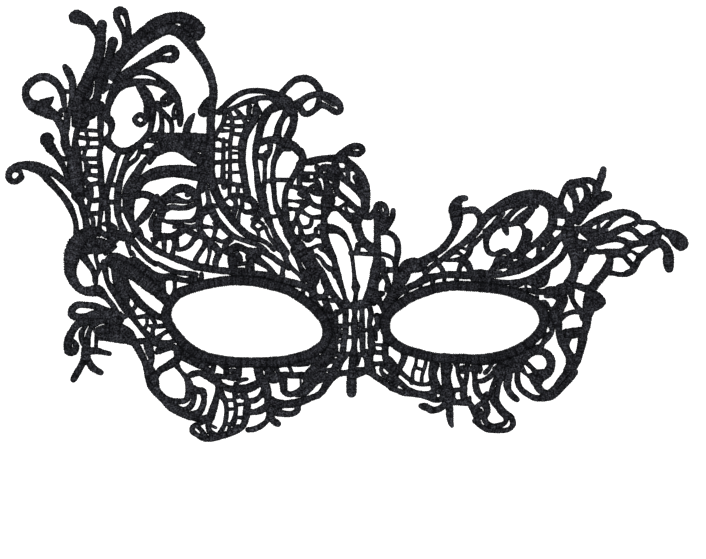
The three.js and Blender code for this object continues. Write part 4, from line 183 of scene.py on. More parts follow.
         (288, 202, 12), (294, 194, 14), (300, 185, 12), (306, 176), (312, 168, 10)],
        [(258, 261, 5), (268, 263, 4.5), (282, 263, 5)],
        [(255.5, 229, 5), (251, 225, 8), (246, 217, 4)],
        [(256, 231, 8), (266, 226.5, 4), (278, 229)],
        [(296, 278, 7), (294.5, 270, 5), (293, 262), (296, 254), (301, 248, 6), (303, 241, 5),
         (296, 236, 6), (292, 229, 4.5), (288, 219, 5), (285, 212, 6)],
        [(293, 279, 7), (299, 280.6, 6), (305, 281.5, 8), (312, 283.4, 7.6), (320, 284.6, 7),
         (328, 285, 7.4), (334.3, 286.6, 9), (340.5, 290.2, 6), (347, 289.5, 6.5), (353, 289.3, 6),
         (357, 293.3), (353.7, 296.6), (347, 296.6, 7), (340, 292.7, 7.6), (334, 288, 8)],
        [(296, 270, 4), (302, 270, 3.5), (310, 270, 4), (317, 275, 8), (326, 274), (333, 270)],
        [(311, 276, 6), (314, 270), (319, 264, 5), (321.5, 256, 8), (322, 249, 12), (322, 242, 15),
         (320.5, 234, 12), (318.5, 226, 7), (318, 218), (317.7, 210, 8.6), (319.5, 203, 8.4),
         (323, 195, 7.4), (326.8, 187, 6.6), (329.3, 178), (331.2, 170, 7.6), (333.8, 161, 6.4),
         (336.9, 152, 5.4), (339.4, 144, 4.6), (343, 138, 6)],
        [(294, 263, 4), (302, 262.5), (311, 262, 5), (316, 250, 3)],
        [(293, 256, 5), (301, 254), (310, 250, 6), (318, 249)],
        [(282, 256, 4), (289, 256, 5), (296, 252, 6), (302, 245), (308, 238, 5), (315, 236, 6)],
        [(281, 242.5, 4), (288, 242, 3), (296, 241, 6), (303, 240, 3)],
        [(279, 234, 6), (287, 234, 4), (295, 232, 6), (300, 229, 4), (306, 226), (314, 226, 6)],
        [(283, 220, 4), (290, 220, 5), (297, 216, 4), (304, 217.5, 5), (306, 226, 4)],
        [(291, 233, 4), (291, 226), (294, 217, 5), (296, 208, 6), (302, 203), (309, 207, 4), (317, 206, 5)],
        [(310, 214, 5), (309, 209, 4), (298, 206, 5), (290, 206)],
        [(333, 284, 9), (337, 284.5), (343, 280, 8), (350, 274.2), (356, 266.3), (359.9, 258, 7),
         (361, 249), (360.2, 241, 7.6), (358.5, 233, 10), (353, 227), (350.5, 219, 10.4), (352.7, 211, 9.4),
         (355.6, 204), (361, 199, 8), (369, 195)],
        [(322, 274, 6), (328, 273, 8), (333, 269.5, 7), (337, 264.5, 6.5), (343, 259.5, 6),
         (348, 255.5, 6.5), (353, 250.5), (356.5, 244, 5), (358, 237, 6)],
        [(329, 279, 8), (333, 274, 4), (342, 273, 5), (350, 276, 4)],
        [(341, 276, 6), (342, 268, 5), (342, 262)],
        [(349, 266, 6), (351, 261, 5), (353, 255), (358, 250, 6)],
        [(320, 268, 6), (326, 266, 9), (330, 262, 8), (330, 254.7, 6.6), (333.5, 249), (339.5, 244.3, 6),
         (344.5, 239.4, 6.2), (349.5, 234.8, 6.4), (356, 231, 9)],
        [(320, 254, 5), (328, 258, 4), (330, 249), (325, 247, 5)],
        [(318, 235, 8), (325, 235, 7), (332, 234, 5), (338, 229, 6), (344, 224.5, 8), (350, 222, 9)],
        [(333, 235, 4), (340, 239), (346, 236)],
        [(340, 240, 3), (340, 234, 3.5), (343, 229, 4), (351, 229)],
        [(314, 216, 8), (321, 214.5, 10), (327, 214), (333, 212.2, 7.6), (338.3, 207.8, 6), (342, 201, 4.2),
         (344.6, 194, 3.8), (345.9, 187, 4.2), (347, 179, 4), (348, 170), (348.7, 163, 5),
         (349.8, 156.5, 10), (350, 150, 5), (349.3, 143, 5.4), (349, 136, 9)],
        [(345, 190, 6), (354, 189.5, 4), (362, 189, 4.5), (371, 190, 6)],
        [(352, 198, 6), (358, 198), (366, 192)],
        [(352, 198, 6), (351, 190)],
        [(357, 228, 9), (365, 227, 8), (369.3, 233, 5.6), (371, 238.3, 5.4), (376, 239.3), (380, 235),
         (380, 228, 6), (377, 222, 7), (375, 215, 9)],
        [(366, 227, 6), (371, 230), (370.8, 222), (371, 214, 6.8), (371.2, 206), (371.3, 198, 8),
         (371.3, 190), (371, 181, 9), (369.5, 172, 11), (367, 163, 9), (365, 154), (362, 146),
         (359, 138, 8)],
        [(387.2, 232.8, 5.2), (386.3, 226, 6.4), (382.5, 219.5, 7), (378, 215, 8.5), (372, 211, 8)],
        [(373, 237, 5), (375.5, 231, 3), (377, 225, 5)],
        [(310, 188, 4), (315, 184), (319, 178, 4.5), (324, 174, 6)],
        [(303, 192, 10), (306, 184, 8), (310.5, 177, 7.4), (315.8, 170, 8), (320, 161), (325, 151.7, 7),
         (330, 144.7), (335.5, 138, 8)],
        [(299, 186, 8), (305, 174, 9), (308, 165, 12), (306, 156, 9), (309, 147), (317.5, 146.3, 6),
         (321.3, 152, 6.6), (317.5, 162, 6.4)],
        [(316, 198.3, 4), (309.5, 196.6), (303.5, 193.5)],
        [(318, 197, 5), (314, 194.5, 4), (320, 191), (326, 185, 6)],
        [(353.5, 264, 3), (355.5, 259, 3.5), (357.3, 255, 2.5)],
        [(326.5, 171.5, 3.5), (328.7, 166)],
        [(375, 166.5, 5), (371.5, 160, 3.6), (370, 153, 5), (369, 146, 10), (367.8, 139.5, 6)],
        [(370, 148, 9), (376.5, 149.5, 6)],
        [(372, 143, 9), (375, 138, 5), (377.5, 133, 4.5)],
        [(251.5, 287, 6), (257, 286, 8)],
        [(264, 300, 6), (263.8, 292, 5.5), (261.5, 286, 4)],
        [(272.5, 288, 4), (276.5, 293.5, 5), (284, 293, 3)],
        [(296, 266.5, 3.5), (302.5, 266.5)],
        [(308.5, 266.5, 3.5), (313.5, 266, 3)],
        [(304, 256.5, 3), (309, 257, 6), (312, 253.5, 3)],
        [(293, 249.3, 4.5), (297.5, 245.5, 3)],
    ],
    "leftBrowSwirl": [
        [(151, 241, 6), (155.5, 244, 6.6), (162, 248, 7.2), (169, 253, 8.3), (177, 254.9, 9),
         (184.5, 252.7, 9.4), (189.5, 249, 6.5), (191.5, 243, 5.5), (189, 239, 5), (182, 235.8, 5.6),
         (174, 235), (165, 235.8, 6.2), (157.5, 232.5, 7)],
        [(153, 237, 8), (160, 243, 9), (168, 244), (176, 242, 6), (183, 241.5, 4), (188, 245, 5)],
        [(151, 247, 5), (152, 238, 10), (155.3, 229.5, 9.5), (152.5, 222, 7), (151, 213.5, 9.6),
         (151.6, 206, 8.5), (158, 206.3, 8), (166, 207, 7), (172.5, 210, 7.6), (179, 213.3, 7.2),
         (186.5, 209.8, 6.2), (193, 207, 6)],
        [(153, 226, 6), (159, 222, 4), (166, 221, 5.6), (172, 221, 5), (178, 222, 3.5), (186, 222.5, 5),
         (192.3, 229, 7.3), (193.4, 238, 6.2), (192.3, 248, 5.5), (193, 258, 5)],
        [(168, 216, 4), (176, 217, 6), (184, 216, 5), (192, 218, 6), (195.5, 226), (198.8, 233, 6.6),
         (202.7, 240, 6), (201.7, 249, 4.6), (199.8, 258, 5)],
        [(205, 234, 9), (209.9, 224.8, 7.7), (217.4, 216, 7), (225.5, 208.2, 6.3), (235.2, 203.6, 4.8),
         (244, 201, 5.5), (251, 198.5, 5), (256, 195.5), (261, 191)],
        [(207.6, 258, 8.3), (209.8, 250, 8), (213.3, 243.3, 8.5), (217, 236, 9), (222, 229, 8.5),
         (228, 221, 8), (234, 214.5, 7.5), (241, 208.5), (249, 205, 6), (256, 202.5, 5), (262, 199, 4.5),
         (268, 193)],
        [(246, 217, 4), (252, 213), (259, 216), (261, 211, 3.5), (264, 205, 4), (269, 199), (274, 193, 5)],
        [(251, 213, 4), (253, 207, 3.5), (252, 203, 4)],
        [(246, 224, 4), (252, 222), (257, 219)],
        [(224, 262, 5), (223.5, 254, 4), (224, 247), (229.5, 241, 4.5), (229, 234, 6), (227, 226)],
        [(232, 258, 5), (231.5, 250, 4), (230, 244)],
        [(224, 248, 4), (232, 248, 5), (240, 244.6, 8.6), (244.5, 242, 6)],
        [(236, 244, 4), (236, 236, 5), (233.5, 230, 3), (232, 221, 5)],
        [(218, 238, 6), (224, 235, 4), (232, 236), (240, 231, 5), (246, 231.5, 6)],
        [(198, 230.5, 7), (205, 231.8, 5), (211, 222.5)],
        [(192, 222, 6), (196, 217), (204, 216, 3.5), (209, 214, 5), (207, 205, 4), (204, 200, 7)],
        [(193, 214, 6), (199, 206), (205, 200, 8), (212.7, 190.5, 7.5), (209.7, 181.5, 6.5),
         (209.5, 174, 6)],
        [(209, 204.5, 5), (216, 201.5, 4), (223, 204, 5)],
        [(205, 200, 6), (210, 195.2, 4.5), (216, 192.4), (224, 190, 8)],
        [(169.3, 206, 7), (170.5, 199, 6), (171.3, 194, 4.8), (177, 194.2, 5), (184, 198.3, 5.2),
         (188, 204, 5.6), (193, 207, 6), (198.5, 204, 5.4), (198.6, 198), (193.7, 190), (189.7, 183),
         (190, 177, 8)],
        [(150, 193, 7), (160, 188, 5.4), (170, 184.3, 7.2), (180, 180.5), (190, 176.7, 8.6), (200, 175, 8),
         (210, 173, 7), (221, 172), (232, 171, 9), (243, 172, 8)],
        [(152, 179.5, 5), (160, 175, 5.5), (170, 171), (180, 169.7), (190, 168.3, 6)],
        [(158, 203, 6), (158.2, 196, 4.8), (158, 190, 5)],
        [(166, 208, 5), (168.3, 200, 4.7), (167.5, 194), (166, 188, 6)],
        [(203.6, 199, 5.6), (203.6, 190, 3.8), (201.7, 182), (200, 176, 6)],
        [(224, 193, 8), (231, 196, 8.6), (238, 194, 6.8), (246, 189.5, 7), (252, 189.5, 8)],
        [(226, 186, 10), (227, 177, 9), (230, 169)],
        [(244, 192, 8), (246.2, 184, 7.2), (243, 177, 7), (244, 169, 9)],
        [(227, 180, 8), (236, 179, 3.5), (244, 181, 6)],
        [(181, 248, 5), (184.5, 249), (187, 247, 3)],
        [(205.5, 238.3, 4), (210.5, 237, 5)],
        [(145.5, 204.7, 3), (149, 201, 6)],
        [(218.5, 196.5, 6), (222, 200, 4.5), (226.5, 202.7, 3)],
        [(231, 190, 5), (232.7, 186, 7.6), (234.3, 181.5, 6)],
        [(219.5, 243.5, 3.4), (223, 246)],
        [(195.5, 169, 5), (195.5, 164.5)],
        [(207.5, 220, 3), (212, 215.3, 3.6)],
    ],
    "sideSprays": [
        [(16, 266, 6), (12, 262.5), (7, 261.5), (3, 265, 7), (3.5, 271), (8, 275, 8), (15, 277.5),
         (24, 277.3, 10), (32, 276), (39, 273.5, 9), (46.5, 270.5, 8), (54.7, 264.3, 7), (62, 258, 7.2),
         (69, 252, 9), (75, 246)],
        [(8, 274, 6), (13.5, 272, 5), (15, 268), (12, 262.5, 6)],
        [(24, 276, 8), (34, 272, 8.5), (41.5, 264, 8), (49.3, 255.6, 6.8), (56.2, 247.7), (61.2, 240.9, 7),
         (65.5, 233), (68.5, 225, 6), (70, 218, 5.5), (70.3, 210, 6)],
        [(41, 303.7, 15.5), (42.3, 299.5, 12.5), (45, 294.8, 11.5), (50.2, 288.6, 7.4), (54.6, 281.6, 7),
         (58.8, 273, 6), (60.3, 267, 4.7), (64, 260, 6), (69, 252, 8)],
        [(68, 247, 7), (74, 239, 5), (76, 231, 4.5), (78.3, 223), (80, 214, 6)],
        [(54, 285.7, 5), (60, 283.7)],
    ],
    "ladder": [
        [(67, 273, 5), (68, 282, 7), (69, 295), (69.5, 305, 6), (72, 316, 6.5), (73.7, 325, 8),
         (73, 332, 9)],
        [(58, 303, 7), (60.5, 318, 7.5), (61.5, 330, 7)],
        [(70, 301, 5), (71, 292, 8), (71, 285, 9), (72, 270, 10), (73.5, 258, 11), (74, 246, 7.5),
         (77, 235, 6), (79.5, 226), (81.5, 214, 7)],
        [(79.5, 314, 4), (81, 307), (82, 300), (79.8, 294), (78, 287), (80.4, 279, 5.5), (81.5, 271, 7),
         (78.5, 264, 5), (83.5, 257, 7), (85.2, 250, 5.5), (83.5, 240, 5), (82, 230), (86.8, 224),
         (87.2, 215, 4.5)],
        [(93.5, 306, 4), (95, 298, 5), (93.5, 290, 5.5), (94, 280, 6), (95, 270, 6.5), (95, 261, 7),
         (95.8, 252, 6.5), (96, 243, 6), (95.3, 236), (94.5, 228, 5), (93.5, 219, 4.5), (93, 209, 6)],
        [(72, 313, 4), (80, 313), (88, 312.5), (94, 312)],
        [(70, 306.3, 5), (75, 305.6, 4.8), (82, 304.4), (93, 304.3, 4.6)],
        [(71, 294, 6), (80, 295.5, 4), (93, 296)],
        [(72, 286, 7), (81, 284.5, 5), (93, 284.5)],
        [(80, 277, 5), (93, 276.5)],
        [(79, 269, 6), (86, 268, 4), (94, 267, 6)],
        [(83, 258, 5), (92, 260)],
        [(79, 253, 5), (85, 243), (95, 243.5, 6)],
        [(77, 237, 5), (82, 236, 4)],
        [(78, 229, 5), (86, 229.5), (95, 230)],
        [(84, 213, 6), (92, 213), (99, 208)],
        [(76, 335, 10), (86, 334, 9), (95, 338)],
        [(74, 327, 8), (83, 328, 4), (92, 330, 6)],
        [(101, 241, 5), (105.5, 241, 5.5), (110, 241, 4)],
        [(98, 219, 5), (103, 219), (109, 215, 6)],
        [(111, 246, 4), (120, 247)],
        [(112, 233, 5), (121, 233, 8), (123, 227, 5)],
        [(100, 208, 8), (108, 209), (117, 209), (127, 207, 6)],
        [(103, 258.5, 4), (106.3, 258.5, 6), (110, 257, 4)],
        [(75.5, 318.6, 7), (79, 319.6, 9), (82, 324, 4.5), (88, 326.3, 3)],
    ],
    "leftTemple": [
        [(95, 176, 6), (91, 181, 4), (90.3, 189, 4.5), (97, 194.5, 10), (103.5, 199, 11), (111, 206.3, 9.5),
         (120.5, 205.5, 9), (128.5, 199.5, 7), (132.5, 194, 5.5), (138.5, 187.3), (144.5, 182),
         (150, 178.8)],
        [(121.5, 201, 6), (123, 194.5, 4.5), (124.8, 188, 3)],
        [(82, 203, 9), (90, 201, 10), (97, 201, 8)],
        [(79, 190, 4), (80, 198, 8), (86, 199)],
        [(90, 160, 4.5), (90.2, 167), (93, 174, 5), (91, 181, 4), (89.8, 187, 4.5), (90, 195, 5)],
        [(102, 184, 6), (107, 186, 9), (112, 186, 8), (117, 184, 7), (122, 181.5, 8), (128, 181, 11),
         (133, 178, 10), (140, 172.6), (148, 167.2, 9.5), (156, 165.3, 8.3), (164, 166.2, 7.6),
         (170, 164.8, 6), (178, 162.7, 5.5), (190, 162.5, 8)],
        [(108, 180, 14), (120, 174, 15), (132, 166, 13), (143, 157.5), (152.3, 150.5, 12),
         (160.3, 143.3, 11), (164, 139, 10)],
        [(98, 181, 7), (98.8, 174.5), (100, 168, 6), (101.3, 162, 5), (104.7, 156, 6.8),
         (109.3, 149.5, 7.4), (113.8, 141.8), (118.5, 134.5, 6.5), (123.3, 128.7, 6), (127, 124.5, 5.5),
         (130.7, 120), (134.3, 115.5), (139, 110.5, 6.5), (144, 105.5, 8), (150, 101, 9), (156, 98, 8),
         (166, 96, 7), (176, 92, 9)],
        [(110, 176, 11), (112, 163), (116, 153), (120, 146, 9), (121.2, 139, 4.8), (123.8, 134.5, 4.4),
         (126.3, 130.3, 6), (130, 126, 4.2), (137, 126.5, 4.6), (144, 126, 4), (149, 119.5, 4.6),
         (146.6, 112), (147, 104, 6)],
        [(118.5, 176, 10), (118.3, 163, 9), (122, 154), (128, 147, 8.5), (132.7, 141), (138, 136, 8),
         (145, 131, 7), (151, 127), (158, 124, 6), (162, 118, 7)],
        [(129.9, 141, 3.4), (129, 136, 4.6), (126, 132.5, 4)],
        [(140, 128, 4), (141, 120, 3.5), (138, 113, 5)],
        [(144, 117, 4), (152, 116.6, 5), (161, 117.7)],
        [(150, 103, 7), (157, 109.2, 4.2), (163, 112.5, 5)],
        [(156, 99, 8), (164, 101, 4), (171, 103, 6)],
        [(157, 164, 6), (157, 155), (158, 146, 7)],
        [(168.5, 165, 5), (168.8, 156, 4), (168, 147, 6)],
        [(168, 149, 7), (175, 153, 6), (183, 156, 5), (191, 158, 6)],
        [(148, 161, 5), (154, 159.5)],
    ],
    "leftCheek": [
        [(125.5, 103.7, 8.5), (130.5, 97, 7.6), (135, 89), (138.8, 81, 7), (140.7, 73, 6.5),
         (142.2, 65, 6.6), (145, 57, 7.2), (150, 50.8, 7.6), (157, 44, 7.4), (164, 36.7, 8.8), (171.8, 32),
         (180.5, 28, 8.6), (189.5, 25.2, 7.6), (197, 24.4, 6.6), (203, 25, 8)],
        [(141, 101, 9), (143.3, 93, 9.4), (145.5, 84, 6.6), (143.8, 77), (146.5, 69.5, 8.6), (149, 61),
         (150.7, 54, 6.8), (156, 47, 6.6), (164, 42.5, 6.5), (173, 41.5, 6), (180, 43), (183, 50, 8),
         (183.2, 58, 8.6), (180.5, 65, 6.2), (176.6, 69.7, 4.4), (173, 74, 4.6), (170.5, 78, 7)],
        [(150, 66, 6), (154, 72.5, 7), (160, 76, 7.4), (167, 80.3, 9.6), (171.5, 84, 8), (172, 91, 9)],
        [(181.5, 66.5, 4.6), (186.5, 68.7, 7), (193, 69.9, 5.8), (200, 67.8, 8.2), (206.5, 64, 9),
         (211.2, 58, 5), (211.4, 52, 4.8), (209.9, 43, 6.8), (207.2, 34, 8.7), (204.6, 26, 9),
         (202.3, 18, 6), (204, 11), (210, 7.5)],
        [(168, 36, 8), (177, 32.5, 7), (184, 36, 6), (187.5, 42), (188, 49)],
        [(187, 55, 7), (192, 52.3), (196.5, 51.8, 7.6), (198, 44, 6), (196.8, 37, 6.4), (193, 30.5, 7.5),
         (186, 28, 8)],
        [(171, 88, 7), (178, 84, 5), (186, 80.3, 5.5), (193, 77), (200, 74.5, 5), (206, 71, 6)],
        [(213, 60, 8), (214.5, 50), (219, 42, 5.5), (220.5, 33, 4.5), (220, 25, 5), (218, 17, 4.5),
         (214, 10, 5.5)],
        [(199, 21.5, 5), (192.5, 19), (187, 16, 5.5), (186.3, 12, 6), (191, 8, 5), (198, 4.6, 6.6),
         (205, 4.4), (213, 6.4, 7), (222, 9, 6.6), (231, 12.6), (237.3, 18), (240, 26, 7.4), (241, 35, 8),
         (243, 41.5, 6), (249, 42.7), (255, 47.7, 5.5), (258.3, 56, 7), (253, 66, 8)],
        [(190, 18, 5), (195, 13, 4.5), (199, 7, 6)],
        [(205, 17.5, 3), (210, 15)],
        [(216, 57, 7), (224, 54), (233, 54, 9), (240.5, 54.3), (247, 56.7, 9.5), (253, 60, 8)],
        [(229, 60, 3), (229, 50, 6), (228.5, 43, 3.5), (230, 36, 4.5), (229.5, 29), (227, 22), (224, 18, 3),
         (223, 12, 5)],
        [(219, 42.5, 4), (228, 43)],
        [(220, 33.5, 3.5), (229, 34)],
        [(219, 19, 4), (227, 19, 5), (231, 25, 3), (238, 25, 5)],
        [(235, 54, 8), (240, 46, 5), (240, 38)],
        [(229, 38, 4), (236, 38.5, 3.5), (241, 39, 5)],
        [(226, 13, 4), (232, 17)],
        [(172, 94, 10), (182, 89, 8), (193, 84, 9), (205, 84, 7), (218, 80, 9), (232, 79.5), (245, 80),
         (258, 78, 12), (270, 79, 9), (283, 80.5), (296, 82, 10), (308, 85, 12)],
        [(196, 78, 6), (207, 80, 7), (207, 72, 5)],
        [(212, 80, 4), (220, 74, 6), (221, 67, 7), (231, 67, 9), (233, 73, 6), (234, 78, 5)],
        [(211, 67, 6), (219, 66, 5)],
        [(252, 78, 9), (253, 69), (258, 61), (261.5, 53, 7.5), (262, 45, 7), (261.5, 37, 6.5), (264, 30, 8),
         (266.5, 23, 7), (272, 19)],
        [(262, 74, 8), (266, 65.3, 12.4), (276, 66, 9), (277.5, 58, 8), (278.5, 51.3, 7), (284, 48.6, 6.2),
         (291, 51, 5.4), (297, 55, 7.6), (300.5, 61, 7), (298, 67), (288, 67.5, 6.5), (278, 68, 7)],
        [(268, 74, 5), (272, 72.3, 4)],
        [(283, 77, 4), (286, 70)],
        [(294.5, 65, 2), (294.7, 57)],
        [(259, 48, 6), (264.5, 43, 9), (271, 39.5, 9.6), (280, 38.8, 8.2), (289, 39.8, 8.4), (297, 42),
         (305, 45, 6.2), (312, 47.8, 6.6), (317, 52.5, 7), (320, 58, 8), (325, 63.5, 7), (332, 69),
         (339, 70, 6), (346, 70, 8)],
        [(262, 34, 7), (271, 31, 9), (279, 29, 6.5), (287, 29.5, 6), (291.5, 33, 6.5), (291, 39, 7)],
        [(242, 13, 5.5), (248, 13.8, 6), (255, 17), (260.7, 22, 5), (263.3, 28.5, 6)],
        [(240, 32, 7), (247, 30.8, 6), (254, 32.5, 8), (260, 36)],
        [(290, 47, 3), (298, 49.5, 6), (304, 55, 7), (310, 62, 8), (318, 66, 10)],
        [(298, 66, 6), (305, 71, 10), (312, 77, 12), (320, 86, 13), (325, 96, 11), (325, 106, 10),
         (323, 116), (322, 126), (320, 136, 8)],
        [(305, 63, 8), (314, 68, 11), (317, 76, 8), (323, 80.5, 4), (330, 82, 6)],
        [(132.5, 101.7, 6), (138, 102, 6.5)],
        [(150.7, 90.5, 5), (152.6, 92, 8), (158, 93, 5.4), (164, 93.8, 3)],
        [(231.5, 60.3, 3.5), (236, 63, 4.5), (241, 63.8, 3.5)],
        [(225, 72.3, 4.8), (229, 72.3, 4)],
        [(231.5, 45, 3), (234, 46.7, 4.5), (236.5, 44.5, 3)],
        [(292, 77.3, 3), (302, 78.3, 3.2)],
    ],
    "noseBridge": [
        [(330, 132, 4), (330, 122, 5), (329, 112, 6), (331, 108, 4), (329, 99, 6), (329, 91), (320, 80, 5)],
        [(337, 140, 8), (339.5, 131, 6.5), (339.5, 122, 6), (339.5, 112, 7), (338, 102, 6.5), (337, 93),
         (335, 86, 7), (330, 78, 6), (327, 71, 8), (322, 62, 9)],
        [(330, 117, 5), (338, 117)],
        [(329, 101, 5), (337, 101.5, 4)],
        [(328, 89, 6), (338, 88, 5)],
        [(319, 73, 4), (327, 73)],
        [(349, 138, 7), (348.7, 128, 5), (348.5, 118, 8), (348.7, 108, 7), (348.3, 98, 5.5), (347.5, 88, 9),
         (346.5, 79, 8), (346, 69, 9.5), (345.5, 60, 10.5), (345.5, 50)],
        [(338, 118.5, 4), (348, 119), (356, 119, 5)],
        [(340, 106, 4), (348, 106), (355, 108, 5)],
        [(337, 89, 5), (346, 89), (357, 88)],
        [(355, 140, 8), (356, 131, 5), (356, 121, 6), (356, 111, 7), (356.5, 101, 6), (357, 92),
         (361, 84, 7), (362, 76, 8), (358, 71, 6), (350, 68, 7)],
        [(350, 74, 4), (358, 73.5, 5)],
        [(363, 138, 5), (365, 129, 6), (363.5, 119, 5), (365, 111, 7), (365, 102, 7.5), (366, 94, 8),
         (364.5, 87, 6), (364, 79, 8), (367, 71, 7)],
        [(359, 113, 4), (366, 113), (371, 117, 6)],
        [(357, 92, 5), (366, 91), (378, 90)],
        [(368, 98.5, 3), (377, 97, 4), (380, 90, 6)],
        [(377, 126, 9), (378, 117, 8), (380, 108, 7), (380, 100), (379, 92), (380, 84), (384, 77),
         (392, 71, 8)],
        [(371, 127, 7), (371.5, 120, 5), (371, 114, 6)],
        [(350, 68, 6), (357, 71.5, 5.5), (364, 70, 6), (371, 65.5, 6.5), (379, 60, 6), (388, 55, 7)],
        [(362, 78, 7), (370, 79, 5), (377, 79), (375, 73, 4), (379, 67, 5), (387, 62)],
        [(377, 79, 5), (383, 73), (390, 67, 6)],
        [(335, 138, 8), (343, 137, 6), (349, 138, 8), (356, 138, 6), (363, 138)],
        [(321, 136, 7), (324, 127, 6), (330, 129, 5), (336, 133, 6)],
        [(318, 141, 5), (322, 138), (326, 128)],
        [(320.5, 143.5, 4), (327.5, 142, 4.5)],
        [(334, 113.5, 3.6), (333.6, 106)],
        [(333.5, 74.5, 3.6), (336.7, 81, 3), (340.3, 86, 3.6)],
        [(353.2, 84.8, 4), (351.7, 78, 2.4)],
        [(370, 110.5, 3.4), (370.4, 103, 3)],
        [(375.3, 135.5, 3.4), (377, 131, 3)],
    ],
    "gapsAboveLeftEye": [
        [(246, 192, 6), (253, 192.5, 5), (260, 189.5, 6), (267, 185.5), (272, 181.5), (277, 178, 5.5),
         (276.5, 171, 5), (276, 165, 7)],
        [(266, 195, 5), (272, 195, 7), (278, 190), (280, 184, 6), (283, 178, 5.5), (288, 172.8, 4.5),
         (293, 168.5), (299, 164, 8)],
        [(289, 193, 10), (291.5, 186, 7), (293, 180, 5), (296, 173, 6), (301, 168, 8), (306, 160, 10)],
        [(246, 190, 8), (251, 184, 9), (257, 179.5, 7), (262.5, 175.5, 6), (267, 169, 7), (272, 163.5, 8)],
        [(242, 186, 6), (245, 178, 7), (245, 171, 8)],
        [(276, 178, 5), (283, 174.5)],
        [(232, 169, 8), (243, 169, 7), (255, 168.5), (267, 166.5), (278, 162.5), (289, 159.5, 8),
         (299, 156.5, 7), (306, 151), (307, 142, 8), (313, 134)],
        [(298, 157, 4), (297, 150, 4.5), (297, 144, 6)],
    ],
    "wispLegs": [
        [(78, 83, 7), (74.5, 76), (70.5, 69, 7.5), (67.3, 63.3, 6.5)],
        [(82, 83, 7), (86, 76, 7.5), (91, 72.3, 7), (95, 70.3, 5.5)],
    ],
    "plumeNet": [
        [(217.5, 304, 4), (217.5, 294), (217.3, 285, 4.5), (217, 274, 5), (217, 264, 5.5), (218, 256, 6)],
        [(222.8, 331.5, 4.6), (225.5, 325.5, 4.4), (226.3, 314, 5), (224.3, 302, 4.6), (224, 290, 4.2),
         (224, 278, 4), (224, 268, 4.5), (223.5, 258, 6)],
        [(229, 333.3, 3.5), (232, 331, 5.6), (236.5, 326, 4.8), (241, 318, 5)],
        [(207, 302, 4), (212, 304), (217, 302), (224, 302)],
        [(207, 293.5, 5), (217, 293), (224, 295.5, 4), (236, 294.5, 4.5)],
        [(207, 280.5, 5), (217, 281), (225, 282, 4.5), (237, 282, 5)],
        [(207, 262, 7), (217, 262), (225, 259.5, 5), (237, 257)],
        [(224, 270.5, 3.5), (237, 271)],
        [(225, 290, 3), (236, 290)],
        [(217, 270.5, 3), (224, 271)],
        [(216, 318, 4), (222, 318), (230, 317, 4.5), (240, 317, 5)],
        [(220, 325, 4), (229, 325, 4.5), (237, 326), (245, 324.5, 4)],
        [(243.5, 336.5, 6), (242.7, 331, 5.4), (243.5, 326.5, 4)],
        [(215.8, 312.7, 5), (220, 312.3, 3.5), (224, 312.5, 3)],
        [(228, 309.3, 4.4), (235, 308.5, 5)],
        [(244, 246, 4), (247.3, 241, 7), (249.3, 235, 8), (247.5, 230, 7)],
    ],
    "leafBesideSwirl": [
        [(126, 248, 7), (131, 248, 8), (136, 248.8, 7), (142, 247.8, 8), (149, 244.5, 7)],
        [(148, 244, 7), (144.5, 236, 8), (140, 229, 9.5), (134.5, 223, 7.5), (130, 218, 6)],
        [(149, 231, 3), (146.6, 225, 5), (144.8, 219, 5.6), (145.5, 213, 4)],
        [(130, 214, 5), (133, 213.6), (136.3, 207, 4)],
    ],
    "rightBrow": [
        [(374, 211, 7), (381, 210.6, 5.4), (386.6, 208, 5.6), (390.7, 202.6, 6), (392, 196, 6.6),
         (391.6, 188), (389.8, 180, 6.4), (389.5, 173, 6)],
        [(372, 189.5, 5.5), (380, 188, 4.5), (386, 185, 4), (389.5, 180, 6)],
        [(376, 182, 7), (377, 174, 8), (386, 173, 6)],
        [(377, 174, 8), (379.3, 167, 6), (381.8, 160.5, 5.5), (382, 154, 8)],
        [(389.5, 173, 6), (390.6, 165, 7.6), (389.5, 156.5, 9), (386, 147, 12), (382, 138)],
        [(396, 172, 9), (399, 179, 7), (406, 182), (413, 181.5), (419, 184.5, 6), (426, 188, 6.5),
         (432, 191, 7), (438, 196, 7.6), (443.5, 203, 7.5), (448.2, 211), (450.7, 219, 10),
         (450.5, 226, 14), (449.5, 234, 14.5)],
        [(393, 164, 8), (398, 170, 10), (405, 175, 11), (414, 176, 10), (422, 182, 5), (430, 185)],
        [(391, 156, 8), (398.3, 162, 6.5), (401.5, 168)],
        [(419, 171, 7), (426, 176.5, 5), (433, 181.5, 6), (440, 187), (447, 193.7, 4.6),
         (454.5, 198.2, 5.5), (461.5, 204.2, 6.2), (468.5, 211), (473.8, 218.5, 6.5), (474, 226, 7.5),
         (468.7, 232.6), (461, 232.6, 7), (455, 231.5)],
        [(440, 185, 6), (446.5, 190, 4.5), (453, 195, 4), (459, 200, 5), (465.5, 205.5, 7), (471.5, 212, 6),
         (477.3, 219.5, 5.5), (483, 226), (490, 231, 6), (499, 235), (508, 238.5, 7), (518, 241.5),
         (529, 242.5, 8), (538.5, 240.5), (544, 234, 6.5), (545.5, 225, 6.8), (544, 216, 7.5),
         (539, 208.5, 8), (532, 201.5, 7), (525, 196.5, 6.5), (517, 190.5, 7)],
        [(451, 196, 3), (457.5, 194.5, 2.5), (463, 193, 5)],
        [(445, 183, 3), (452, 184, 4), (458, 185, 7), (463, 190, 6), (464.5, 194.5)],
        [(434, 184, 3), (440, 182.5), (450, 182.5), (458, 182, 8), (462, 178, 7.5), (465, 171, 7)],
        [(433, 178, 5), (436.5, 173), (437, 168, 6)],
        [(456, 180, 6), (453.5, 175, 5), (453, 170, 6)],
        [(388, 146, 8), (396, 151.7, 6.2), (404, 156.2, 7), (411, 159.2, 7.6), (420, 164.4, 8.5),
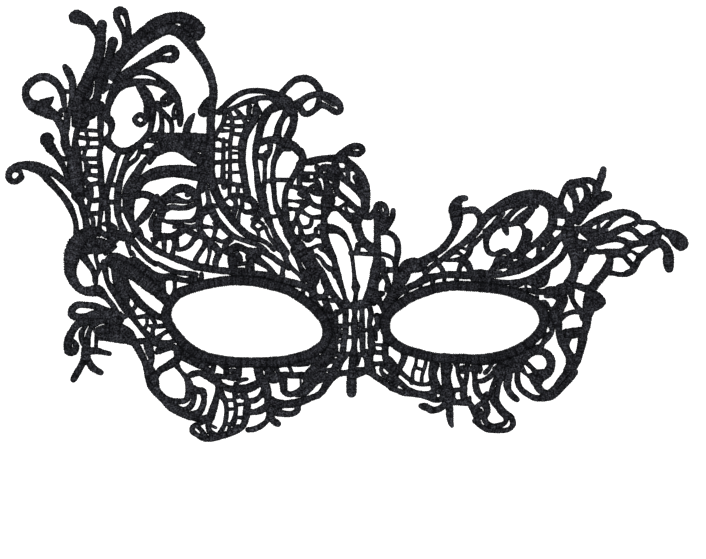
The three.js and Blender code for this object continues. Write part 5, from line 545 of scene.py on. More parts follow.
         (430, 166.6, 7), (440, 168.3), (450, 168.3, 7.5), (461, 167.7, 8), (474, 169.2, 9.5),
         (484, 168.3, 8)],
        [(401, 155, 5), (400.5, 149), (400, 144)],
        [(415, 162, 4), (414.5, 155), (414, 150, 5)],
        [(427, 166, 5), (426.5, 159), (426, 155)],
        [(438.5, 168, 5), (438.3, 163, 4), (438, 157, 5)],
        [(451, 168, 5), (450.6, 163), (450.5, 157)],
        [(466, 168, 8), (470, 163, 9), (482, 162, 8), (494, 160, 7)],
        [(474, 223, 7), (479, 227, 6), (484, 232, 6.5), (491, 236.5), (499, 241, 8), (508, 245, 9),
         (517, 248), (527, 249, 9.5), (537, 247.5), (546, 243, 8.5), (552.5, 238.5, 9), (558, 232, 7.5)],
        [(500, 238, 5), (510, 242, 7), (520, 245, 8), (530, 245, 9), (540, 243, 8), (550, 236, 9),
         (553, 228, 8)],
        [(480, 211, 6), (487.5, 218, 6.5), (492, 224), (497, 230, 5)],
        [(492, 216, 5), (499.5, 222.5, 6.3), (504.5, 228.5, 6), (510, 233.3, 5), (517, 237.5, 4.5),
         (526, 240, 5)],
        [(499, 218, 5), (507, 219.5, 6), (513.5, 225, 7.5), (520.5, 231, 6.5), (526.5, 235.5, 6),
         (531, 237, 4.5)],
        [(479.3, 212, 6), (480.2, 205, 6.5), (480.3, 197, 6), (482.7, 191, 5.6), (488, 188.7, 5),
         (494.5, 190.7, 6), (500, 191.8, 6.5), (504.7, 187.5, 6), (510, 189.5), (514.5, 196, 6.6),
         (518, 203, 7.5), (521, 209, 9)],
        [(485, 216, 6), (491, 217, 5), (498, 219.5), (506, 219, 4.5), (514, 219, 5), (518, 214),
         (519.5, 208, 7)],
        [(497.5, 219, 7), (499.7, 213, 6.6), (501, 209.5, 4.8)],
        [(517.3, 222, 6), (522.8, 227.5, 5), (526.5, 233, 5.5)],
        [(519.5, 213.5, 3.5), (523, 210.5, 7), (523.3, 205, 6.3), (520, 199, 5.5), (514, 192)],
        [(484, 171, 5), (489, 177, 7), (492, 184, 6), (500, 184), (506, 179, 5), (513, 180, 7),
         (520, 183, 6), (527, 182, 5), (533, 187, 7), (533, 195, 6)],
        [(486, 167.3, 4.5), (494, 167.8, 5), (503, 170.3, 7), (512, 172.8, 8), (521, 176.8),
         (530, 181.8, 8.5), (537.5, 187, 9), (544, 194, 9.5), (550, 201.5, 7.5), (556.5, 208, 6.5),
         (562, 217, 8)],
        [(505, 187, 7), (513, 187), (519, 184)],
        [(517, 190, 6), (522, 196, 5.5), (530, 199, 6), (537, 200, 8), (542, 205, 7)],
        [(492, 176, 6), (500.5, 176, 3), (507, 172, 4)],
        [(498, 184, 5), (505, 183.5, 4), (506, 176), (513, 177, 3)],
        [(548, 232, 6), (549.5, 224, 4), (548, 216, 5), (544, 209), (547, 203, 6)],
        [(549, 215.2, 4.5), (554.5, 215, 4.8), (561, 213.5, 5), (563, 221, 6), (561, 227.5, 8), (555, 228)],
        [(494, 160.5, 6), (505, 160.5, 5.5), (516, 161.6, 6.5), (526, 165, 7), (534, 169.5, 7.5),
         (542, 175.2), (549.5, 180.7, 7.6), (556, 187, 7), (560, 195, 6.5), (563, 203, 9)],
        [(505, 157.5, 4), (511, 157), (520, 161, 5), (529, 160, 8), (536, 164), (541, 170, 6), (543, 176)],
        [(527, 152, 6), (530, 157, 7), (538, 160), (541.5, 167, 5), (542, 173)],
        [(500, 152, 5), (511, 151.5, 6), (519.5, 153, 5), (529, 151.5, 6), (536, 151), (544, 152, 10),
         (554, 152), (563, 153)],
        [(510.5, 158, 4), (511, 153)],
        [(520, 160, 3), (519.8, 154)],
        [(531, 147, 4), (532, 141), (539.5, 141), (538, 135, 6), (541, 127), (544, 119), (546, 112, 5),
         (541, 105, 7), (537, 100, 5), (534, 94, 7)],
        [(540, 147, 5), (547, 147), (552, 143, 4), (550, 137, 5), (548, 130, 9), (551, 121, 10),
         (552.5, 113, 6), (553.5, 105), (556.5, 98, 7), (562, 91.5), (566, 84, 8)],
        [(546, 134, 5), (544, 126, 4), (546, 118, 5)],
        [(535, 107, 6), (538.5, 110, 4), (540, 104, 6)],
        [(446.5, 189, 3), (451, 190.7, 4.5), (456, 188, 3.5)],
        [(463.5, 195.5, 6), (467.5, 199.5, 6.5), (472.5, 203.5, 5), (476, 207.5, 4)],
        [(482.5, 205, 4), (484, 210, 6), (488.5, 214.5)],
        [(493, 180.6, 3), (499, 180.2, 3.6), (503, 178.7, 3)],
        [(487.5, 171.6, 3), (495, 171)],
        [(541.3, 140, 3), (543, 134.5, 4)],
    ],
    "rightCheek": [
        [(383, 84, 7), (388, 78.3, 6), (393.5, 72.3, 5.5), (399.5, 66.6, 4.8), (406, 61.5, 4.5),
         (414, 58.6, 4), (421, 58.7, 4.3), (427, 61, 6)],
        [(396.3, 94, 7), (398.2, 87, 6.8), (396, 80, 7), (393, 74, 6)],
        [(410.3, 91, 5), (410.3, 83, 3.2), (409.3, 77, 4), (407, 71, 3.6), (406.4, 65, 4), (406, 60.5, 6)],
        [(411, 75, 3.5), (417, 73.5), (419, 76, 3)],
        [(419, 88, 6), (419.8, 81, 3.6), (418.2, 74, 4), (416, 67, 3.7), (415.5, 60, 4)],
        [(428, 85, 6), (426, 76, 6.5), (425.2, 68, 5.8), (427, 60, 6.5), (428, 52, 6), (428, 46)],
        [(430, 78, 8), (428.5, 70, 5), (430, 63, 4.5), (432, 56, 7)],
        [(438, 86, 9), (440.5, 77, 12.5), (440, 69, 10.5), (440.6, 60), (442.3, 53, 11), (444, 46, 8)],
        [(449, 82, 7), (451.5, 76, 5), (452, 69, 4), (455, 62, 5.5), (458, 55, 7), (457, 47)],
        [(462, 82, 6), (461, 74), (460.5, 66, 5), (459, 58)],
        [(470, 82, 8), (469, 74), (468.8, 66, 5.2), (469.7, 57.5, 7), (471.5, 51), (475.5, 45.5, 6)],
        [(456, 75, 6), (465, 74), (474, 75), (474, 70, 3)],
        [(470, 62, 4), (476, 62, 5.5), (482, 65), (488, 70, 6.5), (494, 76, 7), (500, 82, 8)],
        [(479, 70, 5), (483.5, 75, 4), (486, 80, 5)],
        [(475, 82, 9), (486, 83), (497, 86), (508, 90), (519, 95), (528, 103, 8)],
        [(488, 74, 4), (495, 79, 5), (505, 82, 9), (514, 87), (524, 92, 8), (532, 96, 6)],
        [(493, 70, 8), (503, 73, 10), (513, 78), (519, 86, 9), (527, 91, 8), (536, 91.5), (543, 86.5, 9),
         (545, 79), (542, 71, 10), (535, 65.5), (531.5, 58, 9), (536, 51.5, 7), (543, 49)],
        [(516, 82, 7), (520.5, 80, 5), (525.5, 75.5, 4.5), (530, 71, 6), (537, 70, 8)],
        [(515, 76, 6), (517.5, 72, 5), (521, 68, 3), (526, 66, 9), (529, 60, 7)],
        [(502, 75, 7), (503, 67), (501.3, 60, 8), (502.3, 53, 7), (506, 47.5, 6.5), (511, 43.3, 6)],
        [(497, 74, 6), (496, 66), (493.5, 60, 5), (491.5, 52, 5.5), (491, 44, 5.2), (493.3, 37.3, 5.6),
         (498.5, 31, 6), (505, 25.5, 6.5), (507, 19, 6), (503.5, 14, 5), (497, 12.3), (489, 12.2),
         (481, 13), (474.5, 17), (469, 22, 6)],
        [(492.5, 68, 5.5), (488.5, 61, 5), (486, 54), (485.8, 47, 6.5), (487.5, 41), (491, 36, 5),
         (494.5, 31, 5.5), (499.5, 26), (499.5, 21, 5), (494, 17.5, 6), (487, 16.5), (481, 19.5),
         (478.5, 25), (481, 31, 7), (480.5, 37), (478, 43), (481, 49, 6)],
        [(511, 78, 7), (511.5, 70, 6), (511.5, 62), (514.5, 54.5), (521, 49), (529, 45, 6.5), (538, 45, 7),
         (546, 46.8), (552.5, 51.5, 6), (558, 57.5), (564, 64, 6.5), (569, 71, 7)],
        [(543, 49, 7), (549, 55.5, 6), (553.5, 62), (559, 68.5, 6.5), (564, 75), (568, 81, 7)],
        [(444, 52, 5), (449, 52.7), (455, 53.3)],
        [(453, 71, 4), (458, 71, 4.5)],
    ],
    "rightCheekLower": [
        [(383.5, 68.5, 4), (388, 66, 6), (394, 60.2, 6.2), (400, 55.3, 5.3), (407, 51.2, 6), (415, 49.2),
         (423, 49.2, 5.7), (431, 52.5, 7.5), (440, 50, 8)],
        [(385, 55, 6), (391, 52.5, 5.5), (398, 50, 6.5), (406, 48.8, 5.6), (414, 47.8), (421, 46, 6),
         (427, 43.8, 6.4), (434, 43.3, 5.4), (438, 48, 7), (442, 54, 8)],
        [(387.5, 63, 6), (390.5, 57, 4)],
        [(415, 37, 6), (420, 35.8, 8), (426, 32.9, 7.5), (433, 34, 6.3), (439, 38.8, 7), (441, 45),
         (445, 50)],
        [(442, 42, 8), (443.5, 34, 7.5), (443.8, 27), (444.8, 20, 6), (446, 17, 4.5)],
        [(441, 40, 6), (449, 40.5), (457, 40.5, 7), (464, 39, 6), (467, 33), (470, 26), (473, 19)],
        [(446.3, 50, 7), (447, 45, 5), (449, 41, 6)],
        [(449, 52.5, 4), (457, 53, 5), (459.3, 46, 5.5), (461, 40, 6)],
        [(464, 46, 3), (463.5, 41, 5), (468, 33, 7), (473, 31, 8), (475, 26, 6)],
        [(468, 33, 6), (473, 38, 5), (478, 42, 6), (477, 47, 5)],
        [(478, 27, 6), (480.5, 33, 5), (478, 38, 6)],
        [(470.5, 51.5, 6), (476, 46, 4), (480.5, 43.5, 6)],
    ],
    "rightWing": [
        [(449.8, 236.5, 14), (452.3, 242, 9.5), (456.3, 244.6, 6.6), (459.5, 244.8, 6)],
        [(553.5, 240, 9), (556.3, 247, 6), (558.8, 253.5), (563.5, 259.8, 6.4), (570, 261, 6.6),
         (577, 262.2, 7), (584, 262.5), (590, 258, 8), (591, 250), (588, 243), (582, 236, 9), (577, 229),
         (572, 222)],
        [(563, 256, 6), (570, 258), (577, 258), (581, 252, 7), (581, 245, 8), (577, 238), (572, 231, 9),
         (567, 223, 10)],
        [(563.5, 258, 8), (566, 251, 9.5), (569.3, 244, 7.6), (570, 238, 7), (570.5, 232), (566.5, 225, 8)],
        [(597.3, 273.7, 6.5), (596, 268, 8), (593.6, 261), (591, 254, 9), (590, 247)],
        [(601.5, 247.5, 10.4), (596, 246.3, 11), (589, 241.6, 10.6), (582.3, 235.6)],
        [(561.5, 228, 8), (563, 222, 9), (563, 214, 12), (563.5, 204, 11), (565.5, 194, 9.6),
         (568.6, 184, 9.4), (569, 175, 8.8), (566.7, 166, 10), (561.5, 158.5)],
        [(571, 213, 7), (569, 205, 6), (573, 196, 9), (574.5, 187, 8), (575.5, 180, 5.5),
         (573.5, 173, 4.5)],
        [(570, 213, 8), (576, 214.5, 6), (583, 219, 7), (591, 223.3, 6.5), (600, 227, 6.3),
         (609, 229.8, 6.5), (618, 230.8, 6.6), (626, 228.9, 6.8), (631.5, 225.5, 6.6), (634.5, 221.2, 6),
         (641, 220.6, 4.8), (648, 219.4, 5.6), (652, 216, 5), (656, 211.8, 6.6), (663, 210.8),
         (670, 208.2, 8.4), (675.8, 204.3, 8.8), (678.3, 198.8, 8.4), (674.6, 196, 8), (669.2, 199.3, 6.6),
         (664.6, 205.8, 5.6), (659, 210.8, 6.6)],
        [(664, 208, 8), (671, 203, 9), (676, 198, 6)],
        [(580, 214, 8), (587, 219.5, 5), (593, 222, 6), (600, 225.5, 5), (607, 225)],
        [(583, 217, 7), (583.5, 213, 5), (590, 212), (596.5, 213.5), (602.3, 219.5, 4.5)],
        [(592, 222, 4), (592.5, 215), (590, 208, 6)],
        [(585, 208, 7), (593, 208.5), (600, 213, 5)],
        [(576, 211, 5), (584, 206, 7), (592, 204.5, 9), (601, 206), (609, 211, 8), (617, 215, 7.5),
         (625, 218.5, 4), (631, 221, 5), (629, 218, 4)],
        [(585, 201, 9), (594, 202), (603, 204, 7.6), (611, 204, 6.6), (618, 202.2, 6.4), (624, 200, 5),
         (632, 200, 6), (641, 201), (649, 203, 8.5), (654, 208.5, 5)],
        [(612, 211.5, 5), (620, 214, 5.2), (627.5, 212.7, 6), (633, 207.5, 6.5), (637, 205, 6),
         (644, 208, 5), (650, 211, 6), (657, 213, 5)],
        [(574, 200, 9), (583, 197, 8), (591, 191.5, 5), (600, 191.5, 6), (609, 190.5, 8), (617, 191, 9),
         (622, 196, 8), (624, 200, 6)],
        [(601, 191, 6), (603.3, 184, 6.6), (601.7, 177, 9.2), (598.3, 170.5, 9.8), (593.3, 164.5, 10.2),
         (588.7, 158.5, 10), (584.3, 151), (581.5, 143, 9), (581, 134), (581, 125), (580, 116),
         (576, 108, 10)],
        [(618, 188, 6), (621.3, 182.7, 5), (626.5, 178, 4.6), (631.3, 183), (632.5, 188, 5)],
        [(607, 186, 3), (612, 188, 5), (619.7, 185.4, 4.4), (624.7, 180), (626.3, 174, 5.4),
         (622, 169.5, 6), (614, 168.5, 5), (606, 170), (599, 170.5, 6)],
        [(604, 188, 7), (604.3, 181, 6), (603.2, 175, 7)],
        [(620, 169.5, 6), (626, 172, 7), (630.3, 178, 6), (633, 184, 6.5), (637.5, 188.8, 6.8),
         (643.3, 193.8, 6.6), (648.5, 197.5, 8), (653.5, 200, 9), (659.3, 196), (662.3, 189, 10.4),
         (662.3, 182, 11.4), (663, 174.5, 9.5)],
        [(619, 191, 5), (626, 191.5, 3), (630, 189, 4)],
        [(624, 196, 5), (631, 197.5, 3), (639, 199, 4)],
        [(640, 204, 8), (648, 204.5, 7), (651.5, 199, 6), (656, 199.5, 5.5), (660, 195, 6)],
        [(559, 216, 6), (559, 208, 9), (558, 203, 5), (563, 196, 8), (570, 190, 9), (571, 182, 8),
         (570, 174, 7)],
        [(553, 155, 8), (562, 157, 9), (571, 157.3, 6.6), (579, 154.5, 7.6), (587, 155, 9)],
        [(565, 152, 8), (566.3, 144, 5), (570, 137, 5.5), (575, 131, 7), (579, 124, 9)],
        [(586, 149, 10), (591, 146), (596, 141, 8), (592, 137), (586, 135, 9), (582, 128)],
        [(584, 142, 10), (592, 142)],
        [(556, 149, 8), (559.3, 143, 5.6), (556.3, 136, 6.4), (554, 129, 5)],
        [(554, 124, 7), (560, 128.5, 5), (567, 131), (575, 131, 6)],
        [(553, 119, 7), (554, 111, 6), (560, 109, 11), (568, 110), (576, 111)],
        [(556, 109, 8), (557, 101), (559.5, 94), (563, 87), (564, 79, 9), (560, 71, 7)],
        [(577, 106, 9), (575.5, 98), (573.5, 90, 8), (571, 82), (568, 76, 7)],
        [(561, 104, 9), (561, 97, 5), (566, 84, 6), (570, 87)],
        [(602.5, 217, 4), (605.5, 221.5, 5), (610.5, 225.5, 5.5), (616.5, 228, 3.5)],
        [(579.3, 181, 3), (580, 187, 6), (582, 190.5, 7), (588.5, 190, 3.5)],
        [(553, 146.5, 3), (555.3, 142.5, 4), (553.3, 136, 3)],
    ],
}
eyeRims = {
    "eye_rim_left":
        [(160.5, 130, 9), (161, 124), (164, 117), (169, 109.5), (176, 101.5), (184, 94.5), (194, 88.5),
         (206, 84.5), (220, 82), (235, 80.8), (250, 80.6), (265, 81.2), (280, 82.6), (292, 85.5),
         (302, 88.5), (311, 93.5), (318, 99.5), (321, 107), (321, 115), (318.5, 122), (314, 128.5),
         (308, 135), (301, 141), (293, 146.5), (285, 151.5), (276, 155), (265, 158), (252, 161),
         (238, 162.5), (222, 162.2), (208, 160.3), (195, 157.5), (184, 154), (174, 150), (167, 144),
         (163, 138)],
    "eye_rim_right":
        [(379.2, 120, 9), (380, 111), (384.4, 103.6), (390.5, 98), (398.7, 93.5), (409, 90.3), (419, 87.4),
         (430, 85.2), (442, 84.3), (455, 84.3), (468, 83.5), (480, 84.5), (492, 86.4), (503, 89.9),
         (513, 94.2), (522, 99.7), (530, 106.5), (535.5, 114), (538, 122), (536.5, 130), (532, 137.5),
         (524, 143.6), (514, 147.7), (503, 151.6), (491, 154.2), (478, 155.6), (463, 156.8), (447, 157.3),
         (434, 155.8), (423.2, 152.9), (413.4, 149.5), (403.6, 145), (394.7, 139.3), (387, 133.5),
         (381.3, 127)],
}

cord = {
    "width": 0.0028,        # of an ordinary cord
    "widthParts": 8,        # that the chart counts across an ordinary cord
    "spanSteps": 16,        # from one charted point to the next
    "stitchPitch": 0.00072,
    "ridge": 0.05,          # how far a stitch stands out, as a share of the half width
    "ragged": 0.13,         # how much one stitch may be wider than the next, as such a share
    "wander": 0.035,        # slow unevenness of the edge, as such a share
    "waves": (0.0031, 0.0052, 0.0089),      # lengths of that unevenness
    "fluff": 0.00008,       # how far the thread stands out past the charted edge on each side
    "crown": 0.92,          # height over the half width
    "crownCorners": 7,
    "belly": 0.24,          # depth below the edges over the half width
    "bellyCorners": 3,
    "paintedEdgeShade": 0.08,     # painted shade: tone of a cord's edges and underside against its crown's, where a painted highlight runs
    "strandTones": (0.75, 1.25),
    "tallest": 0.0023,      # the height that the widest cords level off to
    "lift": 0.00035,        # most that one cord rides over another
    "endSteps": (0.35, 0.62, 0.82, 0.95),   # rings of a round end, as shares of the half width
    "seed": 11,
}
rimCord = {
    **cord,
    "width": 0.0031,
    "ridge": 0.045,
    "crown": 0.84,
    "belly": 0.0,
    "seed": 41,
}
bandCord = {**cord, "width": rimCord["width"]}


def smoothLine(points, closed):
    # centripetal Catmull-Rom through the charted points, in chart squares
    line = np.array([point[:2] for point in points], float)
    if closed:
        line = np.vstack([line[-1], line, line[:2]])
    else:
        line = np.vstack([2 * line[0] - line[1], line, 2 * line[-1] - line[-2]])
    shares = np.linspace(0, 1, cord["spanSteps"], endpoint=False)[:, None]
    pieces = []
    for p0, p1, p2, p3 in zip(line, line[1:], line[2:], line[3:]):
        d0, d1, d2 = [np.linalg.norm(b - a) ** 0.5 for a, b in ((p0, p1), (p1, p2), (p2, p3))]
        leave = ((p1 - p0) / d0 - (p2 - p0) / (d0 + d1) + (p2 - p1) / d1) * d1
        arrive = ((p2 - p1) / d1 - (p3 - p1) / (d1 + d2) + (p3 - p2) / d2) * d1
        pieces.append(p1 + leave * shares + (3 * (p2 - p1) - 2 * leave - arrive) * shares ** 2
                      + (2 * (p1 - p2) + leave + arrive) * shares ** 3)
    pieces.append(line[1:2] if closed else line[-2:-1])
    return np.vstack(pieces)


def widthLine(points, closed):
    # widths along that line over an ordinary cord's; one that isn't written is the same as the last
    widths, width = [], cord["widthParts"]
    for point in points:
        width = point[2] if len(point) > 2 else width
        widths.append(width)
    if closed:
        widths.append(widths[0])
    places = np.arange((len(widths) - 1) * cord["spanSteps"] + 1) / cord["spanSteps"]
    return np.interp(places, range(len(widths)), widths) / cord["widthParts"]


def chartReach(charts):
    # the outermost edges of all the strands, in chart squares
    lows, highs = [], []
    for strand, closed in charts:
        line = smoothLine(strand, closed)
        half = widthLine(strand, closed)[:, None] * cord["width"] / 2 / pixelSize
        lows.append((line - half).min(axis=0))
        highs.append((line + half).max(axis=0))
    return np.min(lows, axis=0), np.max(highs, axis=0)


everyStrand = [(strand, False) for group in laceChart.values() for strand in group]
everyStrand += [(loop, True) for loop in eyeRims.values()]
reachLow, reachHigh = chartReach(everyStrand)
squareSize = (laceHigh[:2] - laceLow[:2]) / (reachHigh - reachLow)


def toFrame(line):
    return laceLow[:2] + (line - reachLow) * squareSize


def stitched(points, closed, look, dice):
    # rings along one cord, a ridge and a hollow for each stitch: x, y, half width and tone
    line = toFrame(smoothLine(points, closed))
    half = widthLine(points, closed) * look["width"] / 2 + look["fluff"]
    steps = np.linalg.norm(np.diff(line, axis=0), axis=1)
    travel = np.concatenate([[0], np.cumsum(steps)])
    length = travel[-1]
    stitches = max(2, round(length / look["stitchPitch"]))
    places = np.linspace(0, length, stitches * 2 + 1)
    x, y, half = [np.interp(places, travel, values) for values in (line[:, 0], line[:, 1], half)]
    if closed:
        x, y, half = x[:-1], y[:-1], half[:-1]
    count = len(half)
    ridges = look["ridge"] * np.where(np.arange(count) % 2, 1, -1)
    phases = [dice.uniform(0, 2 * math.pi) for _ in look["waves"]]
    turns = [round(length / wave) if closed else length / wave for wave in look["waves"]]
    share = np.arange(count) / count
    waves = [np.sin(2 * math.pi * turn * share + phase) for turn, phase in zip(turns, phases)]
    wander = look["wander"] * (sum(waves) / len(waves))
    ragged = look["ragged"] * (np.array([dice.random() for _ in range(count)]) - 0.5)
    tones = [dice.random() for _ in range(count)]
    rings = np.stack([x, y, half * (1 + ridges + wander + ragged), tones], axis=1)
    if closed:
        return rings
    return np.vstack([roundEnd(rings[0], rings[1])[::-1], rings, roundEnd(rings[-1], rings[-2])])


def roundEnd(tip, inner):
    # a few shrinking rings carry a cord's end round
    away = (tip[:2] - inner[:2]) / np.linalg.norm(tip[:2] - inner[:2])
    return np.array([[*(tip[:2] + away * tip[2] * step), tip[2] * math.sqrt(1 - step ** 2), tip[3]]
                     for step in cord["endSteps"]])


def halfRound(height, first, last, corners):
    return [(math.cos(turn), height * math.sin(turn)) for turn in np.linspace(first, last, corners)]


def cordSection(look):
    # a cord's section at unit half width, crowned above and slightly full below, or flat there
    above = halfRound(look["crown"], 0, math.pi, look["crownCorners"])
    below = halfRound(look["belly"], math.pi, 2 * math.pi, look["bellyCorners"] + 2)[1:-1]
    return np.array(above + (below if look["belly"] else []))


def sweptRings(rings, closed, section, level):
    # the section set square to the cord at every ring
    if closed:
        along = np.roll(rings[:, :2], -1, axis=0) - np.roll(rings[:, :2], 1, axis=0)
    else:
        along = np.gradient(rings[:, :2], axis=0)
    along /= np.linalg.norm(along, axis=1)[:, None]
    side = np.stack([along[:, 1], -along[:, 0]], axis=1)[:, None, :]
    across, up = section[:, 0][None, :, None], section[:, 1][None, :, None]
    half = rings[:, None, 2:3]
    flat = rings[:, None, :2] + side * across * half
    return np.concatenate([flat, level + up * half], axis=2).reshape(-1, 3)


def tubeFaces(ringCount, sides, closed, first):
    # four-cornered faces between neighbouring rings, and one flat face at each open end
    rows = np.arange(ringCount if closed else ringCount - 1)[:, None]
    columns = np.arange(sides)[None, :]
    ahead, beside = (rows + 1) % ringCount, (columns + 1) % sides
    corners = [row * sides + column for row, column in
               ((rows, columns), (ahead, columns), (ahead, beside), (rows, beside))]
    faces = (np.stack(corners, axis=2).reshape(-1, 4) + first).tolist()
    if not closed:
        end = first + ringCount * sides
        faces.append(list(range(first, first + sides)))
        faces.append(list(range(end - 1, end - sides - 1, -1)))
    return faces


def sweptCords(name, strands, closed, look, floorAt, seed):
    # one piece of many cords, each a closed tube, levelled off on top and cut off at the floor
    dice = random.Random(seed)
    section = cordSection(look)
    roundness = (np.maximum(section[:, 1], 0) / look["crown"]) ** 2
    paintedLightAndShade = look["paintedEdgeShade"] + (1 - look["paintedEdgeShade"]) * roundness      # painted highlight, highest along the crown, and painted shade at the edges and underside
    spots, faces, tones, cloth = [], [], [], 0
    for strand in strands:
        rings = stitched(strand, closed, look, dice)
        lift = dice.uniform(0, look["lift"]) * (not closed)
        level = np.median(rings[:, 2]) * look["belly"] + lift
        faces += tubeFaces(len(rings), len(section), closed, sum(map(len, spots)))
        spots.append(sweptRings(rings, closed, section, level))
        # a vertex's tone is its stitch's random tone and its strand's tone times the painted highlight and
        # shade across the cord
        tones.append(np.outer(rings[:, 3] * dice.uniform(*look["strandTones"]), paintedLightAndShade).ravel())
        steps = np.linalg.norm(np.diff(rings[:, :2], axis=0), axis=1)
        cloth += float((steps * 2 * rings[1:, 2]).sum())
    spots = np.vstack(spots)
    spots[:, 2] = floorAt + np.maximum(look["tallest"] * np.tanh(spots[:, 2] / look["tallest"]), 0)
    mesh = bpy.data.meshes.new(name)
    mesh.from_pydata(spots.tolist(), [], faces)
    # the stitch attribute carries random tones together with the painted highlight and shade
    mesh.attributes.new("stitchToneAndShade", "FLOAT", "POINT").data.foreach_set("value", np.concatenate(tones))
    mesh.shade_smooth()
    piece = bpy.data.objects.new(name, mesh)
    bpy.context.scene.collection.objects.link(piece)
    return piece, cloth


class Wire:
    # a shader socket that Python's operators turn into Math nodes
    def __init__(self, tree, socket):
        self.tree, self.socket = tree, socket

    def joined(self, operation, other):
        node = self.tree.nodes.new("ShaderNodeMath")
        node.operation = operation
        plug(self.tree, node.inputs[0], self)
        plug(self.tree, node.inputs[1], other)
        return Wire(self.tree, node.outputs[0])

    def __add__(self, other):
        return self.joined("ADD", other)

    def __mul__(self, other):
        return self.joined("MULTIPLY", other)

    __radd__ = __add__
    __rmul__ = __mul__


def plug(tree, slot, value):
    if isinstance(value, Wire):
        tree.links.new(value.socket, slot)
    else:
        slot.default_value = value


class Recipe:
    # a material under construction
    def __init__(self, name):
        self.material = bpy.data.materials.new(name)
        self.material.use_nodes = True
        self.tree = self.material.node_tree
        self.shader = self.tree.nodes["Principled BSDF"]

    def node(self, kind, settings=None, output=0, slots=None, **sockets):
        # slots are sockets given by number; in a socket's name an underscore stands for a space
        made = self.tree.nodes.new(kind)
        for key, value in (settings or {}).items():
            setattr(made, key, value)
        for key, value in (slots or {}).items():
            plug(self.tree, made.inputs[key], value)
        for key, value in sockets.items():
            plug(self.tree, made.inputs[key.replace("_", " ")], value)
        return Wire(self.tree, made.outputs[output])

    def mixed(self, share, first, second):
        # on colours a Mix node takes its factor in socket 0, its colours in 6 and 7, and gives output 2
        sockets = {0: share, 6: first, 7: second}
        return self.node("ShaderNodeMix", {"data_type": "RGBA"}, output=2, slots=sockets)

    def finish(self, **sockets):
        for key, value in sockets.items():
            plug(self.tree, self.shader.inputs[key.replace("_", " ")], value)
        return self.material


laceLook = {
    "dark": (0.0012, 0.0013, 0.0017, 1),
    "light": (0.172, 0.178, 0.211, 1),
    "evenness": 0.10,       # of the tone from stitch to stitch
    "grainAndGlints": 0.0005,        # size of the noise that stands for single threads, their own uneven tone and painted glints
    "grainDetail": 2.0,
    "grainRoughness": 0.6,
    "grainLow": 0.40,       # noise at which a thread is black
    "grainHigh": 0.80,      # and at which it's at its brightest, a painted glint
    "patch": 0.004,         # size of the duller and brighter patches
    "patchDetail": 2.0,
    "patchSwing": 0.8,
    "patchDullest": 0.6,
    "roughness": 0.6,
    "specular": 0.02,
    "bump": 0.6,
    "bumpDepth": 0.00012,
}
rimLook = {**laceLook, "light": (0.148, 0.153, 0.184, 1), "roughness": 0.5}


def blackThread(name, look):
    # black satin stitch: every stitch has a tone of its own, with a painted highlight on its cord's crown
    # and painted shade at the edges, and the threads in it have uneven tone and painted glints
    recipe = Recipe(name)
    place = recipe.node("ShaderNodeTexCoord", output="Object")
    stitchToneAndShade = recipe.node("ShaderNodeAttribute", {"attribute_name": "stitchToneAndShade"}, output="Fac")
    noise = recipe.node("ShaderNodeTexNoise", Vector=place, Scale=1 / look["grainAndGlints"],
                        Detail=look["grainDetail"], Roughness=look["grainRoughness"])
    grainAndGlints = recipe.node("ShaderNodeMapRange", Value=noise,
                        From_Min=look["grainLow"], From_Max=look["grainHigh"])
    patch = recipe.node("ShaderNodeTexNoise", Vector=place, Scale=1 / look["patch"],
                        Detail=look["patchDetail"])
    # each stitch's random tone, with the painted highlight and edge shade of its cord
    tone = stitchToneAndShade * (1 - look["evenness"]) + look["evenness"]
    # the grain noise gives the threads uneven tone and paints glints on them
    toneShadeAndGlints = tone * grainAndGlints * (patch * look["patchSwing"] + look["patchDullest"])
    thread = recipe.mixed(toneShadeAndGlints, look["dark"], look["light"])
    bumps = recipe.node("ShaderNodeBump", Strength=look["bump"], Distance=look["bumpDepth"], Height=noise)
    return recipe.finish(
        Base_Color=thread, Roughness=look["roughness"], Normal=bumps, Specular_IOR_Level=look["specular"])


laceThread = blackThread("lace_thread", laceLook)
rimThread = blackThread("rim_thread", rimLook)

print("cords")
cuts = {**laceChart, "eye_bands": list(eyeRims.values())}
for order, (groupName, strands) in enumerate(cuts.items()):
    aroundEyes = groupName == "eye_bands"
    look = bandCord if aroundEyes else cord
    seed = look["seed"] + order
    piece, cloth = sweptCords("lace_" + groupName, strands, aroundEyes, look, laceLow[2], seed)
    piece.data.materials.append(laceThread)
    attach(piece, "root")
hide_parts("lace_body")

print("eye rims")
for order, (nodeName, loop) in enumerate(eyeRims.items()):
    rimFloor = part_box(nodeName)[0][2]
    piece, _ = sweptCords("dressed_" + nodeName, [loop], True, rimCord, rimFloor, rimCord["seed"] + order)
    piece.data.materials.append(rimThread)
    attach(piece, "root")
    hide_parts(nodeName)

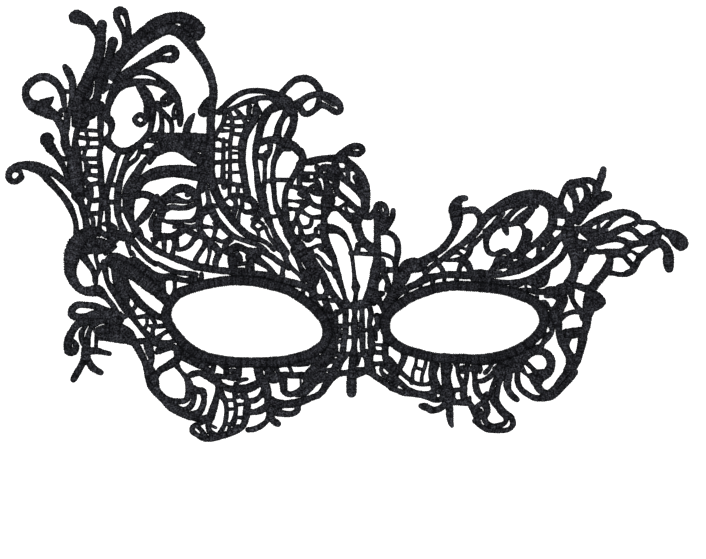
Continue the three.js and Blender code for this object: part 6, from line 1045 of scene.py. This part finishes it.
stage = {
    "floorSize": 3.0,
    "floorDrop": 0.0002,
    "floorTone": (0.80, 0.80, 0.80, 1),
    "floorRoughness": 0.9,
    "glowTone": (1, 1, 1, 1),
    "floorGlow": 0.93,
    "skyTone": (1, 1, 1, 1),
    "skyStrength": 0.55,
    "lampPlace": (-0.25, 0.25, 0.9),
    "lampTurn": (-12, -12, 0),      # degrees
    "lampSize": 1.3,
    "lampWatts": 5.0,
    "lens": 135,            # millimetres, like the sensor
    "sensor": 36,
    "aim": (347, 163.5),    # the spot of the chart under the camera
    "aimLevel": 0.001,      # the height at which the camera's frame is as wide as the photo's
}


def buildStage():
    bpy.ops.mesh.primitive_plane_add(size=stage["floorSize"], location=(0, 0, -stage["floorDrop"]))
    floor = bpy.context.object
    floor.name = "floor"
    recipe = Recipe("pale_floor")
    recipe.finish(Base_Color=stage["floorTone"], Roughness=stage["floorRoughness"],
                  Emission_Color=stage["glowTone"], Emission_Strength=stage["floorGlow"])
    floor.data.materials.append(recipe.material)
    world = bpy.data.worlds.new("studio")
    world.use_nodes = True
    sky = world.node_tree.nodes["Background"].inputs
    sky["Color"].default_value = stage["skyTone"]
    sky["Strength"].default_value = stage["skyStrength"]
    bpy.context.scene.world = world
    lamp = bpy.data.lights.new("soft_lamp", "AREA")
    lamp.shape, lamp.size, lamp.energy = "SQUARE", stage["lampSize"], stage["lampWatts"]
    lampObject = bpy.data.objects.new("soft_lamp", lamp)
    lampObject.location = stage["lampPlace"]
    lampObject.rotation_euler = [math.radians(turn) for turn in stage["lampTurn"]]
    bpy.context.scene.collection.objects.link(lampObject)


def buildCamera():
    # straight above, so far off that its frame spans the width of floor that the photo shows
    camera = bpy.data.cameras.new("camera")
    camera.lens, camera.sensor_width = stage["lens"], stage["sensor"]
    away = photoWidth * pixelSize * stage["lens"] / stage["sensor"]
    holder = bpy.data.objects.new("camera", camera)
    holder.location = (*toFrame(np.array(stage["aim"])), away + stage["aimLevel"])
    bpy.context.scene.collection.objects.link(holder)
    bpy.context.scene.camera = holder


print("stage")
buildStage()
buildCamera()
bpy.context.scene.view_settings.view_transform = "Standard"
